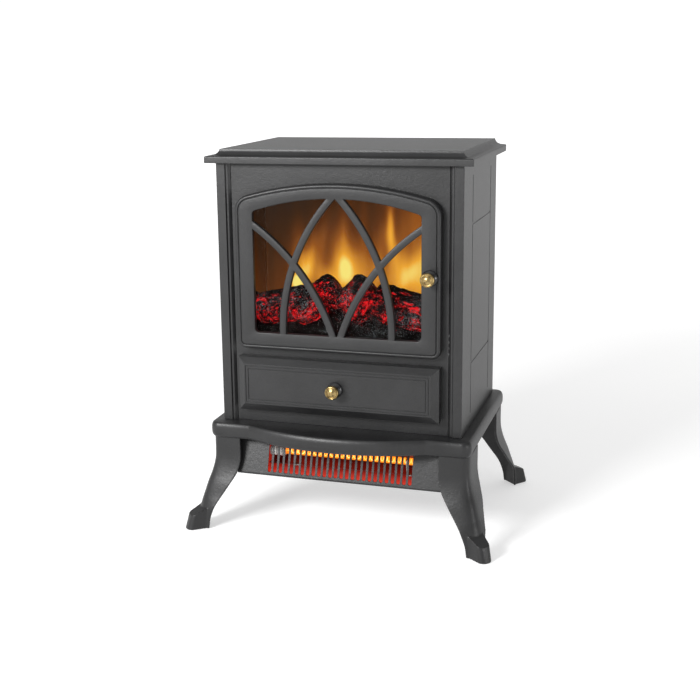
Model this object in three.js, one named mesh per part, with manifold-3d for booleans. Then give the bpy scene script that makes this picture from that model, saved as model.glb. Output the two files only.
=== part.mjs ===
// Stove-style infrared heater with an electric flame: a sheet-metal cabinet on four splayed legs, a
// latticed door over a lit log bed, a drop-down control flap and a quartz tube behind a slotted apron.
// Millimetres. X is to the right seen from the front, Y to the back, Z up. The origin is on the floor
// under the middle of the object.

import * as THREE from 'three';
import { mergeVertices } from 'three/addons/utils/BufferGeometryUtils.js';
import Module from 'manifold-3d';

const wasm = await Module();
wasm.setup();

// ---------------------------------------------------------------- driving dimensions

const GAP = 0.3;                       // clearance between pieces that touch
const SHEET = 1.6;                     // cabinet steel

const BODY_HALF = 157.5;               // cabinet, half width
const BODY_FRONT = -111;               // front face of the posts
const BODY_BACK = 111;
const PANEL_FRONT = -106;              // front panel, set back between the posts
const PANEL_BACK = -104;

const SLAB_UNDER = 477.7;
const SLAB_STEP = 486.5;               // top of the slab's upright edge
const SLAB_TOP = 494.4;
const SLAB_HALF = 170;
const SLAB_FRONT = -119;
const SLAB_BACK = 113;

const LEDGE_UNDER = 123;
const LEDGE_TOP = 143;
const LEDGE_HALF = 172;
const LEDGE_DECK = 2.5;                // thickness of the ledge's top plate
const LEDGE_FRONT = -129;              // straight stretches beside the bow
const LEDGE_BOW = -155.5;              // foremost point of the bow
const LEDGE_BACK = 123;
const DECK_UNDER = LEDGE_TOP - LEDGE_DECK;

const DOOR_BACK = PANEL_FRONT - GAP;
const DOOR_FRONT = -119;
const DOOR_HALF = 131.8;
const DOOR_BOTTOM = 243;
const DOOR_APEX = 454.7;
const DOOR_ARCH = 430;                 // radius of the outer arch
const WINDOW_HALF = 107.8;
const WINDOW_BOTTOM = 264.6;
const WINDOW_APEX = 436.2;
const WINDOW_ARCH = 340.8;
const DOOR_PIVOT = new THREE.Vector2(-125.5, -112.65);
const DOOR_HINGE_HEIGHTS = [262, 414];

const FLAP_HALF = 130.9;
const FLAP_BOTTOM = 162;
const FLAP_TOP = 232;
const FLAP_FRONT = -126.5;
const FLAP_EDGE = -119.5;              // front of the flap's side walls
const FLAP_PIVOT = new THREE.Vector2(-112.5, 168.3);   // y, z

const KNOB_RADIUS = 9;

const LEG_CORNER = new THREE.Vector2(167, 120);        // outer corner of a leg's upper part
const LEG_WALL = 3;
const LEG_TOP = LEDGE_UNDER - GAP;
const TOE_BOTTOM = 0.8;                // the pads carry the toes this high

const TUBE_Y = -97;
const TUBE_Z = 102.5;
const TUBE_LEFT = -84;
const TUBE_RIGHT = 112;
const TUBE_RADIUS = 4.6;

const LINER_HALF = 118.7;
const LINER_BOTTOM = 249.3;
const LINER_TOP = 450.7;
const LINER_FRONT = -101.8;
const LINER_BACK = 60;
const LINER_SHEET = 1.2;
const SCREEN_Y = -46;

const SPINDLE_Y = -18;
const SPINDLE_Z = 288;

const TRAY_BACK = -84;                 // rear face of the control tray
const TRAY_HALF = 124;
const TRAY_BOTTOM = 165;
const TRAY_TOP = 229;
const SWITCH_Z = 197;

// ---------------------------------------------------------------- finishes

const blackPaint = { color: 0x2b2c2e, roughness: 0.5, metalness: 0.35 };
const blackPlastic = { color: 0x1b1b1c, roughness: 0.45, metalness: 0.0 };
const bareSteel = { color: 0x9a9c9e, roughness: 0.4, metalness: 0.9 };
const polishedSteel = { color: 0xc9cacc, roughness: 0.12, metalness: 1.0 };
const agedBrass = { color: 0x9a8247, roughness: 0.35, metalness: 0.9 };
const clearGlass = { color: 0xeef2f2, roughness: 0.05, metalness: 0.0, transparent: true, opacity: 0.3 };
const ceramic = { color: 0xd8d4ca, roughness: 0.6, metalness: 0.0 };
const rubber = { color: 0x161616, roughness: 0.9, metalness: 0.0 };
const screenAmber = { color: 0xc8782a, roughness: 0.6, metalness: 0.0 };
const charredResin = { color: 0x2a1512, roughness: 0.8, metalness: 0.0 };
const circuitGreen = { color: 0x1f5a3a, roughness: 0.5, metalness: 0.0 };
const glowingWire = { color: 0xff9a2e, roughness: 0.5, metalness: 0.2 };

// ---------------------------------------------------------------- the assembly and its helpers

const stove = new THREE.Group();

function add(name, geometry, finish) {
  const mesh = new THREE.Mesh(geometry, new THREE.MeshStandardMaterial(finish));
  mesh.name = name;
  stove.add(mesh);
}

function toSolid(geometry) {
  const bare = geometry.clone();
  bare.deleteAttribute('normal');
  bare.deleteAttribute('uv');
  const merged = mergeVertices(bare, 1e-4);
  return new wasm.Manifold(new wasm.Mesh({
    numProp: 3,
    vertProperties: new Float32Array(merged.attributes.position.array),
    triVerts: new Uint32Array(merged.index.array),
  }));
}

function toGeometry(solid) {
  const mesh = solid.getMesh();
  const geometry = new THREE.BufferGeometry();
  geometry.setAttribute('position', new THREE.BufferAttribute(mesh.vertProperties, 3));
  geometry.setIndex(new THREE.BufferAttribute(mesh.triVerts, 1));
  geometry.computeVertexNormals();
  return geometry;
}

function cut(base, ...tools) {
  return toGeometry(tools.reduce((solid, tool) => solid.subtract(toSolid(tool)), toSolid(base)));
}

function join(base, ...others) {
  return toGeometry(others.reduce((solid, other) => solid.add(toSolid(other)), toSolid(base)));
}

function common(first, second) {
  return toGeometry(toSolid(first).intersect(toSolid(second)));
}

function polygon(points) {
  return new THREE.Shape(points.map(([a, b]) => new THREE.Vector2(a, b)));
}

// An extrusion along Z: the shape's axes are X and Y.
function alongZ(shape, low, high, curveSegments = 8) {
  const settings = { depth: high - low, bevelEnabled: false, curveSegments };
  const geometry = new THREE.ExtrudeGeometry(shape, settings);
  return geometry.translate(0, 0, low);
}

// An extrusion along Y: the shape's axes are X and Z.
function alongY(shape, front, back, curveSegments = 8) {
  const settings = { depth: back - front, bevelEnabled: false, curveSegments };
  const geometry = new THREE.ExtrudeGeometry(shape, settings);
  return geometry.rotateX(Math.PI / 2).translate(0, back, 0);
}

// An extrusion along X: the shape's axes are Y and Z.
function alongX(shape, left, right, curveSegments = 8) {
  const settings = { depth: right - left, bevelEnabled: false, curveSegments };
  const geometry = new THREE.ExtrudeGeometry(shape, settings);
  return geometry.rotateX(Math.PI / 2).rotateZ(Math.PI / 2).translate(left, 0, 0);
}

function box(left, right, front, back, low, high) {
  const geometry = new THREE.BoxGeometry(right - left, back - front, high - low);
  return geometry.translate((left + right) / 2, (front + back) / 2, (low + high) / 2);
}

// Round bars and discs by axis: centre across the axis, then the two ends along it.
function rodX(y, z, radius, left, right, sides = 16) {
  const geometry = new THREE.CylinderGeometry(radius, radius, right - left, sides);
  return geometry.rotateZ(Math.PI / 2).translate((left + right) / 2, y, z);
}

function rodY(x, z, radius, front, back, sides = 16) {
  return new THREE.CylinderGeometry(radius, radius, back - front, sides).translate(x, (front + back) / 2, z);
}

function rodZ(x, y, radius, low, high, sides = 16) {
  const geometry = new THREE.CylinderGeometry(radius, radius, high - low, sides);
  return geometry.rotateX(Math.PI / 2).translate(x, y, (low + high) / 2);
}

function roundedRect(left, right, low, high, radius) {
  const shape = new THREE.Shape();
  shape.moveTo(left + radius, low);
  shape.lineTo(right - radius, low);
  shape.absarc(right - radius, low + radius, radius, -Math.PI / 2, 0, false);
  shape.absarc(right - radius, high - radius, radius, 0, Math.PI / 2, false);
  shape.absarc(left + radius, high - radius, radius, Math.PI / 2, Math.PI, false);
  shape.absarc(left + radius, low + radius, radius, Math.PI, Math.PI * 1.5, false);
  return shape;
}

// The section of a folded sheet: the path is one face, and the sheet lies on the path's left.
function sheetSection(path, thickness) {
  const points = path.map(([a, b]) => new THREE.Vector2(a, b));
  const leftOf = (from, to) => {
    const along = to.clone().sub(from).normalize();
    return new THREE.Vector2(-along.y, along.x);
  };
  const inner = points.map((point, i) => {
    const before = i > 0 ? leftOf(points[i - 1], point) : leftOf(point, points[i + 1]);
    const after = i < points.length - 1 ? leftOf(point, points[i + 1]) : before;
    const miter = before.clone().add(after).divideScalar(1 + before.dot(after));
    return point.clone().addScaledVector(miter, thickness);
  });
  return new THREE.Shape([...points, ...inner.reverse()]);
}

function mirrored(geometry) {
  const copy = geometry.index ? geometry.toNonIndexed() : geometry.clone();
  copy.scale(-1, 1, 1);
  const position = copy.attributes.position;
  for (let i = 0; i < position.count; i += 3) {
    const swap = [position.getX(i), position.getY(i), position.getZ(i)];
    position.setXYZ(i, position.getX(i + 1), position.getY(i + 1), position.getZ(i + 1));
    position.setXYZ(i + 1, ...swap);
  }
  copy.computeVertexNormals();
  return copy;
}

// A rectangle with a low circular arch on top, in X and Z, with small rounds at its four corners.
function archedOutline(half, bottom, apex, archRadius, footRound, shoulderRound) {
  const centre = apex - archRadius;
  const roundX = half - shoulderRound;
  const roundZ = centre + Math.sqrt((archRadius - shoulderRound) ** 2 - roundX ** 2);
  const tangent = Math.atan2(roundZ - centre, roundX);
  const shape = new THREE.Shape();
  shape.moveTo(-half + footRound, bottom);
  shape.lineTo(half - footRound, bottom);
  shape.absarc(half - footRound, bottom + footRound, footRound, -Math.PI / 2, 0, false);
  shape.absarc(roundX, roundZ, shoulderRound, 0, tangent, false);
  shape.absarc(0, centre, archRadius, tangent, Math.PI - tangent, false);
  shape.absarc(-roundX, roundZ, shoulderRound, Math.PI - tangent, Math.PI, false);
  shape.absarc(-half + footRound, bottom + footRound, footRound, Math.PI, Math.PI * 1.5, false);
  return shape;
}

// ---------------------------------------------------------------- top slab

const coveSteps = [0, 1, 2, 3, 4].map((i) => (i / 4) * (Math.PI / 2));
const COVE_WIDTH = 9.3;
const COVE_START = 5.7;                // from the slab's edge to the foot of the cove
const COVE_FOOT = SLAB_STEP + 0.5;

// The moulded edge, from the foot of the upright face to the plateau: distance in, height.
const slabEdge = [
  [0, SLAB_UNDER],
  [0, SLAB_STEP - 1],
  [1, SLAB_STEP],
  ...coveSteps.map((turn) => [
    COVE_START + COVE_WIDTH * Math.sin(turn),
    SLAB_TOP - (SLAB_TOP - COVE_FOOT) * Math.cos(turn),
  ]),
];
const slabAcross = polygon([
  ...slabEdge.map(([inset, z]) => [SLAB_HALF - inset, z]),
  ...[...slabEdge].reverse().map(([inset, z]) => [-SLAB_HALF + inset, z]),
]);
const slabDeep = polygon([
  [SLAB_BACK, SLAB_TOP],
  ...[...slabEdge].reverse().map(([inset, z]) => [SLAB_FRONT + inset, z]),
  [SLAB_BACK, SLAB_UNDER],
]);
const SLAB_POCKET = 9;                 // the slab is a shell: the underside is hollowed this deep
const slabBody = common(
  alongY(slabAcross, SLAB_FRONT - 1, SLAB_BACK + 1),
  alongX(slabDeep, -SLAB_HALF - 1, SLAB_HALF + 1),
);
const slabHollow = box(
  -BODY_HALF + 8, BODY_HALF - 8, BODY_FRONT + 14, BODY_BACK - 10, SLAB_UNDER - 1, SLAB_UNDER + SLAB_POCKET,
);
add('top_slab', cut(slabBody, slabHollow), blackPaint);

// ---------------------------------------------------------------- side panels with front posts

const CABINET_LOW = LEDGE_TOP + GAP;
const CABINET_HIGH = SLAB_UNDER - GAP;
const sidePath = [
  [BODY_HALF - 10.5, BODY_BACK],
  [BODY_HALF, BODY_BACK],
  [BODY_HALF, BODY_FRONT],
  [146, BODY_FRONT],
  [145, BODY_FRONT + 2.2],
  [142.8, BODY_FRONT + 2.2],
  [139.8, PANEL_FRONT],
  [139.8, PANEL_FRONT + 8],
].reverse();
const GROOVE_DEPTH = 0.8;
const GROOVE_HALF = 1.3;
const GROOVE_COLUMNS = [-55, 68];      // y of the two upright grooves
const GROOVE_ROWS = [226, 402];        // z of the two level grooves

function sideGrooves() {
  const inside = BODY_HALF - GROOVE_DEPTH;
  const outside = BODY_HALF + 1;
  const uprights = GROOVE_COLUMNS.map((y) => (
    box(inside, outside, y - GROOVE_HALF, y + GROOVE_HALF, 160, 462)
  ));
  const levels = GROOVE_ROWS.map((z) => (
    box(inside, outside, GROOVE_COLUMNS[0], GROOVE_COLUMNS[1], z - GROOVE_HALF, z + GROOVE_HALF)
  ));
  return [...uprights, ...levels];
}

const rightSide = cut(alongZ(sheetSection(sidePath, SHEET), CABINET_LOW, CABINET_HIGH), ...sideGrooves());
add('side_panel_right', rightSide, blackPaint);
add('side_panel_left', mirrored(rightSide), blackPaint);

// ---------------------------------------------------------------- front panel

const PANEL_HALF = 139.4;
const FIREPLACE_HALF = 117;
const FIREPLACE_LOW = 254;
const FIREPLACE_APEX = 444;
const RECESS_HALF = 121;
const RECESS_LOW = 171;
const RECESS_HIGH = 223;
const panelPlate = box(-PANEL_HALF, PANEL_HALF, PANEL_FRONT, PANEL_BACK, CABINET_LOW, CABINET_HIGH);
const fireplaceHole = alongY(
  archedOutline(FIREPLACE_HALF, FIREPLACE_LOW, FIREPLACE_APEX, DOOR_ARCH, 4, 6),
  PANEL_FRONT - 1, PANEL_BACK + 1, 8,
);
const recessHole = alongY(
  roundedRect(-RECESS_HALF, RECESS_HALF, RECESS_LOW, RECESS_HIGH, 4),
  PANEL_FRONT - 1, PANEL_BACK + 1, 3,
);
add('front_panel', cut(panelPlate, fireplaceHole, recessHole), blackPaint);

// ---------------------------------------------------------------- rear cover with vents, cable gland

const REAR_FRONT = 107.4;
const REAR_BACK = BODY_BACK - SHEET - GAP;
const GLAND_X = 118;
const GLAND_Z = 166;
const GLAND_HOLE = 6.6;
const VENT_LENGTH = 100;
const VENT_PITCH = 9;
const VENT_ROWS = 7;

function ventSlots(firstHeight) {
  const slots = [];
  for (let row = 0; row < VENT_ROWS; row += 1) {
    for (const side of [-1, 1]) {
      const middle = side * 62;
      const low = firstHeight + row * VENT_PITCH;
      const ends = [middle - VENT_LENGTH / 2, middle + VENT_LENGTH / 2];
      slots.push(box(...ends, REAR_FRONT - 1, REAR_BACK + 1, low, low + 4));
    }
  }
  return slots;
}

add('rear_cover', cut(
  box(-BODY_HALF + 2.2, BODY_HALF - 2.2, REAR_FRONT, REAR_BACK, CABINET_LOW, CABINET_HIGH),
  ...ventSlots(385),
  ...ventSlots(190),
  rodY(GLAND_X, GLAND_Z, GLAND_HOLE, REAR_FRONT - 1, REAR_BACK + 1, 20),
), blackPaint);

// A turned bush: a flange outside the cover, a neck through it and a bore for the cable.
const glandProfile = [
  [3.6, -9], [6.2, -9], [6.2, REAR_BACK - REAR_FRONT + GAP], [9, REAR_BACK - REAR_FRONT + GAP],
  [9, 4.2], [6.4, 9], [3.6, 9], [3.6, -9],
].map(([radius, along]) => new THREE.Vector2(radius, along));
const gland = new THREE.LatheGeometry(glandProfile, 20).translate(GLAND_X, REAR_FRONT, GLAND_Z);
add('cable_gland', gland, rubber);

// ---------------------------------------------------------------- base ledge and base pan

const LEDGE_ROUND = 12;
const BOW_HALF = 118;                  // where the bow meets the straight stretches

// The ledge in plan, drawn in by `inset`: square at the back, bowed at the front.
function ledgeOutline(inset) {
  const half = LEDGE_HALF - inset;
  const front = LEDGE_FRONT + inset;
  const back = LEDGE_BACK - inset;
  const round = Math.max(LEDGE_ROUND - inset, 1);
  const rise = LEDGE_FRONT - LEDGE_BOW;
  const bowRadius = (BOW_HALF ** 2 + rise ** 2) / (2 * rise) - inset;
  const bowCentre = LEDGE_BOW + inset + bowRadius;
  const bowAngle = Math.asin(BOW_HALF / (bowRadius + inset));
  const shape = new THREE.Shape();
  shape.moveTo(-half + round, front);
  shape.absarc(0, bowCentre, bowRadius, -Math.PI / 2 - bowAngle, -Math.PI / 2 + bowAngle, false);
  shape.absarc(half - round, front + round, round, -Math.PI / 2, 0, false);
  shape.absarc(half - round, back - round, round, 0, Math.PI / 2, false);
  shape.absarc(-half + round, back - round, round, Math.PI / 2, Math.PI, false);
  shape.absarc(-half + round, front + round, round, Math.PI, Math.PI * 1.5, false);
  return shape;
}

// The bullnose edge is a stack of bevels: 4 mm in at the top and the bottom, full width between.
const LEDGE_NOSE = 4;
const LEDGE_NOSE_HEIGHT = 8;
const ledgeBody = new THREE.ExtrudeGeometry(ledgeOutline(LEDGE_NOSE), {
  depth: LEDGE_TOP - LEDGE_UNDER - 2 * LEDGE_NOSE_HEIGHT,
  bevelEnabled: true,
  bevelThickness: LEDGE_NOSE_HEIGHT,
  bevelSize: LEDGE_NOSE,
  bevelSegments: 2,
  curveSegments: 8,
}).translate(0, 0, LEDGE_UNDER + LEDGE_NOSE_HEIGHT);
const HOLLOW_HALF = 127;
const HOLLOW_FRONT = -119;
const ledgeHollow = box(-HOLLOW_HALF, HOLLOW_HALF, HOLLOW_FRONT, 108, LEDGE_UNDER - 1, DECK_UNDER);
const wiringHole = box(-60, 60, 0, 70, DECK_UNDER - 1, LEDGE_TOP + 1);
add('base_ledge', cut(ledgeBody, ledgeHollow, wiringHole), blackPaint);

const PAN_LOW = LEDGE_TOP + GAP;
add('base_pan', cut(
  box(-152, 152, -97.5, 106.8, PAN_LOW, PAN_LOW + 1.5),
  box(-40, 40, 12, 60, PAN_LOW - 1, PAN_LOW + 3),
), bareSteel);

// ---------------------------------------------------------------- legs and foot pads

// Stations down one leg, as distances outward from the leg's upper corner. `corner` is how far the
// corner has splayed along both axes; `front` and `side` are the free ends of the two arms, across
// and along their own face; `round` is how far the fold between the arms is rounded.
const legStations = [
  { z: LEG_TOP, corner: 1, front: [-35.5, 1], side: [-51, 1], round: 0.15 },
  { z: 98, corner: 1, front: [-35.5, 1], side: [-50, 1], round: 0.15 },
  { z: 86, corner: 2.5, front: [-34, 2.5], side: [-48, 2.5], round: 0.16 },
  { z: 74, corner: 6, front: [-30, 6], side: [-43, 6], round: 0.2 },
  { z: 60, corner: 11, front: [-21.5, 11.5], side: [-32, 11.5], round: 0.26 },
  { z: 47, corner: 15, front: [-13, 15.5], side: [-20, 15.5], round: 0.34 },
  { z: 36, corner: 17.6, front: [-6, 19.5], side: [-9, 19.5], round: 0.42 },
  { z: 27, corner: 18.6, front: [-1.5, 22], side: [-1.5, 22], round: 0.5 },
  { z: 14, corner: 20.5, front: [3, 22], side: [3, 22], round: 0.5 },
  { z: TOE_BOTTOM, corner: 22, front: [5, 22], side: [5, 22], round: 0.5 },
];
const LEG_ACROSS = 6;                  // divisions across each arm

function legPoint(station, across) {
  const reach = (t) => (t + Math.sqrt(t * t + station.round ** 2)) / 2;
  const corner = new THREE.Vector2(station.corner, station.corner);
  const front = new THREE.Vector2(...station.front).sub(corner);
  const side = new THREE.Vector2(station.side[1], station.side[0]).sub(corner);
  return corner.addScaledVector(front, reach(-across)).addScaledVector(side, reach(across));
}

// A strip of the leg's wall: across runs from -1 at the front arm's end to 1 at the side arm's end.
function legWallPoint(station, across, inward) {
  const step = 0.01;
  const point = legPoint(station, across);
  const along = legPoint(station, across + step).sub(legPoint(station, across - step)).normalize();
  return point.add(new THREE.Vector2(along.y, -along.x).multiplyScalar(-inward * LEG_WALL));
}

// The wall starts as a flat band with one level for each station, and is bent into the leg.
function legWall() {
  const across = [];
  for (let i = -LEG_ACROSS; i <= LEG_ACROSS; i += 1) {
    across.push(Math.sign(i) * Math.abs(i / LEG_ACROSS) ** 1.5);
  }
  const band = new THREE.Shape([
    ...across.map((a) => new THREE.Vector2(a, 0)),
    ...[...across].reverse().map((a) => new THREE.Vector2(a, 1)),
  ]);
  const steps = legStations.length - 1;
  const geometry = new THREE.ExtrudeGeometry(band, { depth: steps, steps, bevelEnabled: false });
  const position = geometry.attributes.position;
  for (let i = 0; i < position.count; i += 1) {
    const station = legStations[steps - Math.round(position.getZ(i))];
    const point = legWallPoint(station, position.getX(i), position.getY(i));
    position.setXYZ(i, point.x, point.y, station.z);
  }
  return geometry;
}

// The toe is a tapered block pointing out along the diagonal, with a sloping top.
const TOE_HEEL = 19.5;                 // distances out along the diagonal
const TOE_TIP = 46;
const TOE_TIP_TOP = 40;
const TOE_HEEL_HALF = 11.5;
const TOE_TIP_HALF = 9.3;
const TOE_ROUND = 7.5;
const TOE_FRONT_HEIGHT = 20;
const TOE_SLOPE = 0.42;

function toeBlock() {
  const shape = new THREE.Shape();
  shape.moveTo(TOE_HEEL, -TOE_HEEL_HALF);
  shape.absarc(TOE_TIP - TOE_ROUND, -TOE_TIP_HALF + TOE_ROUND, TOE_ROUND, -Math.PI / 2, 0, false);
  shape.absarc(TOE_TIP - TOE_ROUND, TOE_TIP_HALF - TOE_ROUND, TOE_ROUND, 0, Math.PI / 2, false);
  shape.lineTo(TOE_HEEL, TOE_HEEL_HALF);
  const geometry = alongZ(shape, TOE_BOTTOM, TOE_FRONT_HEIGHT, 4);
  const position = geometry.attributes.position;
  const shrink = (TOE_TIP_TOP - TOE_HEEL) / (TOE_TIP - TOE_HEEL);
  const halfway = (TOE_BOTTOM + TOE_FRONT_HEIGHT) / 2;
  for (let i = 0; i < position.count; i += 1) {
    if (position.getZ(i) > halfway) {
      const out = TOE_HEEL + (position.getX(i) - TOE_HEEL) * shrink;
      position.setX(i, out);
      position.setZ(i, TOE_FRONT_HEIGHT + (TOE_TIP_TOP - out) * TOE_SLOPE);
    }
  }
  return geometry.rotateZ(Math.PI / 4);
}

const PAD_RADIUS = 7;
const PAD_HEIGHT = 2.6;
const PAD_OUT = 31 * Math.SQRT1_2;     // pad centre, outward along both axes

function legInOneCorner() {
  const flangeOutline = polygon([[-33, -2.2], [-2.2, -2.2], [-2.2, -46], [-8, -46], [-33, -10]]);
  const flange = alongZ(flangeOutline, LEG_TOP - 3, LEG_TOP);
  const boltHoles = [[-24, -9], [-8, -36]].map(([x, y]) => rodZ(x, y, 2.2, LEG_TOP - 5, LEG_TOP + 1, 10));
  const padRecess = rodZ(PAD_OUT, PAD_OUT, PAD_RADIUS + 0.4, TOE_BOTTOM - 1, PAD_HEIGHT + GAP, 20);
  return cut(join(legWall(), toeBlock(), flange), ...boltHoles, padRecess);
}

// One corner's geometry serves all four: it is flipped over X, over Y or over both.
function inCorner(geometry, sideX, sideY) {
  const turned = sideX * sideY > 0 ? geometry.clone() : mirrored(geometry);
  if (sideY < 0) turned.rotateZ(Math.PI);
  return turned.translate(sideX * LEG_CORNER.x, sideY * LEG_CORNER.y, 0);
}

const oneLeg = legInOneCorner();
const legCorners = { front_left: [-1, -1], front_right: [1, -1], rear_left: [-1, 1], rear_right: [1, 1] };
for (const [place, [sideX, sideY]] of Object.entries(legCorners)) {
  add(`leg_${place}`, inCorner(oneLeg, sideX, sideY), blackPaint);
  const padX = sideX * (LEG_CORNER.x + PAD_OUT);
  const padY = sideY * (LEG_CORNER.y + PAD_OUT);
  add(`foot_pad_${place}`, rodZ(padX, padY, PAD_RADIUS, 0, PAD_HEIGHT, 20), rubber);
}

// ---------------------------------------------------------------- heater under the ledge

const GRILLE_HALF = 137.8;
const GRILLE_SHEET = 1.2;
const SLOT_COUNT = 26;
const SLOT_PITCH = 7.5;
const SLOT_WIDTH = 4.7;
const SLOT_LOW = 78;
const SLOT_HIGH = 119;

// The apron leans out at the bottom and ends in a rolled lip; its top tucks up inside the ledge.
function heaterGrille() {
  const section = sheetSection([
    [-104.6, 138], [-104.6, 126], [-119.3, 76], [-118.6, 73.4], [-115.4, 72.6], [-113, 74.4],
  ], GRILLE_SHEET);
  const slots = [];
  for (let i = 0; i < SLOT_COUNT; i += 1) {
    const middle = (i - (SLOT_COUNT - 1) / 2) * SLOT_PITCH;
    const slot = roundedRect(
      middle - SLOT_WIDTH / 2, middle + SLOT_WIDTH / 2, SLOT_LOW, SLOT_HIGH, SLOT_WIDTH / 2 - 0.01,
    );
    slots.push(alongY(slot, -125, -100, 1));
  }
  const outside = [[-GRILLE_HALF - 1, -HOLLOW_HALF + 1], [HOLLOW_HALF - 1, GRILLE_HALF + 1]];
  const shoulders = outside.map((reach) => box(...reach, -112, -100, 118.5, 140));
  return cut(alongX(section, -GRILLE_HALF, GRILLE_HALF), ...slots, ...shoulders);
}
add('heater_grille', heaterGrille(), blackPaint);

const HOUSING_ENDS = [-104.5, 125];
const HOLDER_ENDS = [-98.6, 125];      // where the ceramic tube holders stop
const HOUSING_BACK = -46;
const HOUSING_LOW = 75.5;
const HOUSING_TOP = DECK_UNDER - GAP;
const HOUSING_SHEET = 1.2;

// A folded box, open at the front: it closes off the space round the tube, and its floor runs on
// forward to the grille's lip.
function heaterHousing() {
  const front = -101;
  const floorFront = -111.5;
  const wrap = alongX(sheetSection([
    [floorFront, HOUSING_LOW], [HOUSING_BACK, HOUSING_LOW], [HOUSING_BACK, HOUSING_TOP], [front, HOUSING_TOP],
  ], HOUSING_SHEET), ...HOUSING_ENDS);
  const [left, right] = HOUSING_ENDS;
  const ends = [[left, left + HOUSING_SHEET], [right - HOUSING_SHEET, right]].map((reach) => (
    box(...reach, front, HOUSING_BACK, HOUSING_LOW, HOUSING_TOP)
  ));
  return cut(join(wrap, ...ends), rodY(60, 112, 7, HOUSING_BACK - 3, HOUSING_BACK + 3));
}
add('heater_housing', heaterHousing(), bareSteel);

const REFLECTOR_RADIUS = 21;
const REFLECTOR_CENTRE = -88;          // y of the curve's axis

function reflectorSheet() {
  const path = [];
  const steps = 12;
  for (let i = 0; i <= steps; i += 1) {
    const turn = THREE.MathUtils.degToRad(-110 + (220 * i) / steps);
    const y = REFLECTOR_CENTRE + REFLECTOR_RADIUS * Math.cos(turn);
    const z = TUBE_Z + REFLECTOR_RADIUS * Math.sin(turn);
    path.push([y, z]);
  }
  return alongX(sheetSection(path, 0.8), HOUSING_ENDS[0] + 2, HOUSING_ENDS[1] - 2);
}
add('reflector', reflectorSheet(), polishedSteel);

const tubeWall = [
  [TUBE_RADIUS - 0.8, TUBE_LEFT], [TUBE_RADIUS, TUBE_LEFT],
  [TUBE_RADIUS, TUBE_RIGHT], [TUBE_RADIUS - 0.8, TUBE_RIGHT], [TUBE_RADIUS - 0.8, TUBE_LEFT],
].map(([radius, along]) => new THREE.Vector2(radius, along));
const quartzTube = new THREE.LatheGeometry(tubeWall, 14).rotateZ(-Math.PI / 2).translate(0, TUBE_Y, TUBE_Z);
add('quartz_tube', quartzTube, clearGlass);

// A coiled element: a helix between two straight tails.
class ElementCurve extends THREE.Curve {
  getPoint(t) {
    const tail = 0.08;
    const along = THREE.MathUtils.lerp(TUBE_LEFT + 1, TUBE_RIGHT - 1, t);
    const inCoil = THREE.MathUtils.clamp((t - tail) / (1 - 2 * tail), 0, 1);
    const swell = Math.min(1, inCoil * 20, (1 - inCoil) * 20);
    const turn = inCoil * COIL_TURNS * Math.PI * 2;
    return new THREE.Vector3(
      along, TUBE_Y + COIL_RADIUS * swell * Math.cos(turn), TUBE_Z + COIL_RADIUS * swell * Math.sin(turn),
    );
  }
}
const COIL_TURNS = 20;
const COIL_RADIUS = 2.5;
const WIRE_HALF = 0.45;
const wireCorners = [[-1, -1], [1, -1], [1, 1], [-1, 1]].map(([a, b]) => [a * WIRE_HALF, b * WIRE_HALF]);
const coilWire = new THREE.ExtrudeGeometry(
  polygon(wireCorners),
  { steps: COIL_TURNS * 7, bevelEnabled: false, extrudePath: new ElementCurve() },
);
add('heating_coil', coilWire, glowingWire);

// Ceramic holders slip over the tube's ends; each is blind on its outer side.
function tubeCap(end, wall) {
  const outward = Math.sign(wall - end);
  const length = Math.abs(wall - end) - HOUSING_SHEET - GAP;
  const bore = TUBE_RADIUS + 0.4;
  const radii = [[0, length], [7.5, length], [7.5, -6], [bore, -6], [bore, 0.5], [0, 0.5]];
  const profile = radii.map(([radius, along]) => new THREE.Vector2(radius, along));
  const geometry = new THREE.LatheGeometry(profile.reverse(), 16);
  return geometry.rotateZ(outward > 0 ? -Math.PI / 2 : Math.PI / 2).translate(end, TUBE_Y, TUBE_Z);
}
add('tube_cap_left', tubeCap(TUBE_LEFT, HOLDER_ENDS[0]), ceramic);
add('tube_cap_right', tubeCap(TUBE_RIGHT, HOLDER_ENDS[1]), ceramic);

function tubeBracket(x) {
  const plate = new THREE.Shape();
  plate.moveTo(TUBE_Y - 3, 84);
  plate.lineTo(TUBE_Y + 5, 84);
  plate.lineTo(TUBE_Y + 6.5, TUBE_Z);
  plate.absarc(TUBE_Y, TUBE_Z, 6.5, 0, Math.PI, false);
  const body = alongX(plate, x - 0.7, x + 0.7, 6);
  const foot = box(x - 0.7, x + 6, TUBE_Y - 3, TUBE_Y + 5, 84, 85.4);
  return cut(join(body, foot), rodX(TUBE_Y, TUBE_Z, TUBE_RADIUS + 0.5, x - 2, x + 2, 14));
}
add('tube_bracket_left', tubeBracket(-64), bareSteel);
add('tube_bracket_right', tubeBracket(86), bareSteel);

add('thermal_cutoff', join(
  rodY(60, 112, 6.5, HOUSING_BACK - 3, HOUSING_BACK + 6, 16),
  rodY(60, 112, 9.5, HOUSING_BACK + GAP, HOUSING_BACK + 1.6, 16),
), blackPlastic);
add('tip_over_switch', join(
  box(-100, -76, 6, 22, 121, DECK_UNDER - GAP),
  box(-104, -72, 8, 20, DECK_UNDER - GAP - 2, DECK_UNDER - GAP),
), blackPlastic);

// ---------------------------------------------------------------- door

const DOOR_EDGE_ROUND = 5;
const PANE_FRONT = -112.4;
const PANE_BACK = -109.4;
const PANE_HALF = 113.5;
const PANE_BOTTOM = 259;
const PANE_APEX = 441.8;
const PANE_ARCH = 346.4;
const LATTICE_FRONT = -118.2;
const LATTICE_WIDTH = 8.4;
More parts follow.
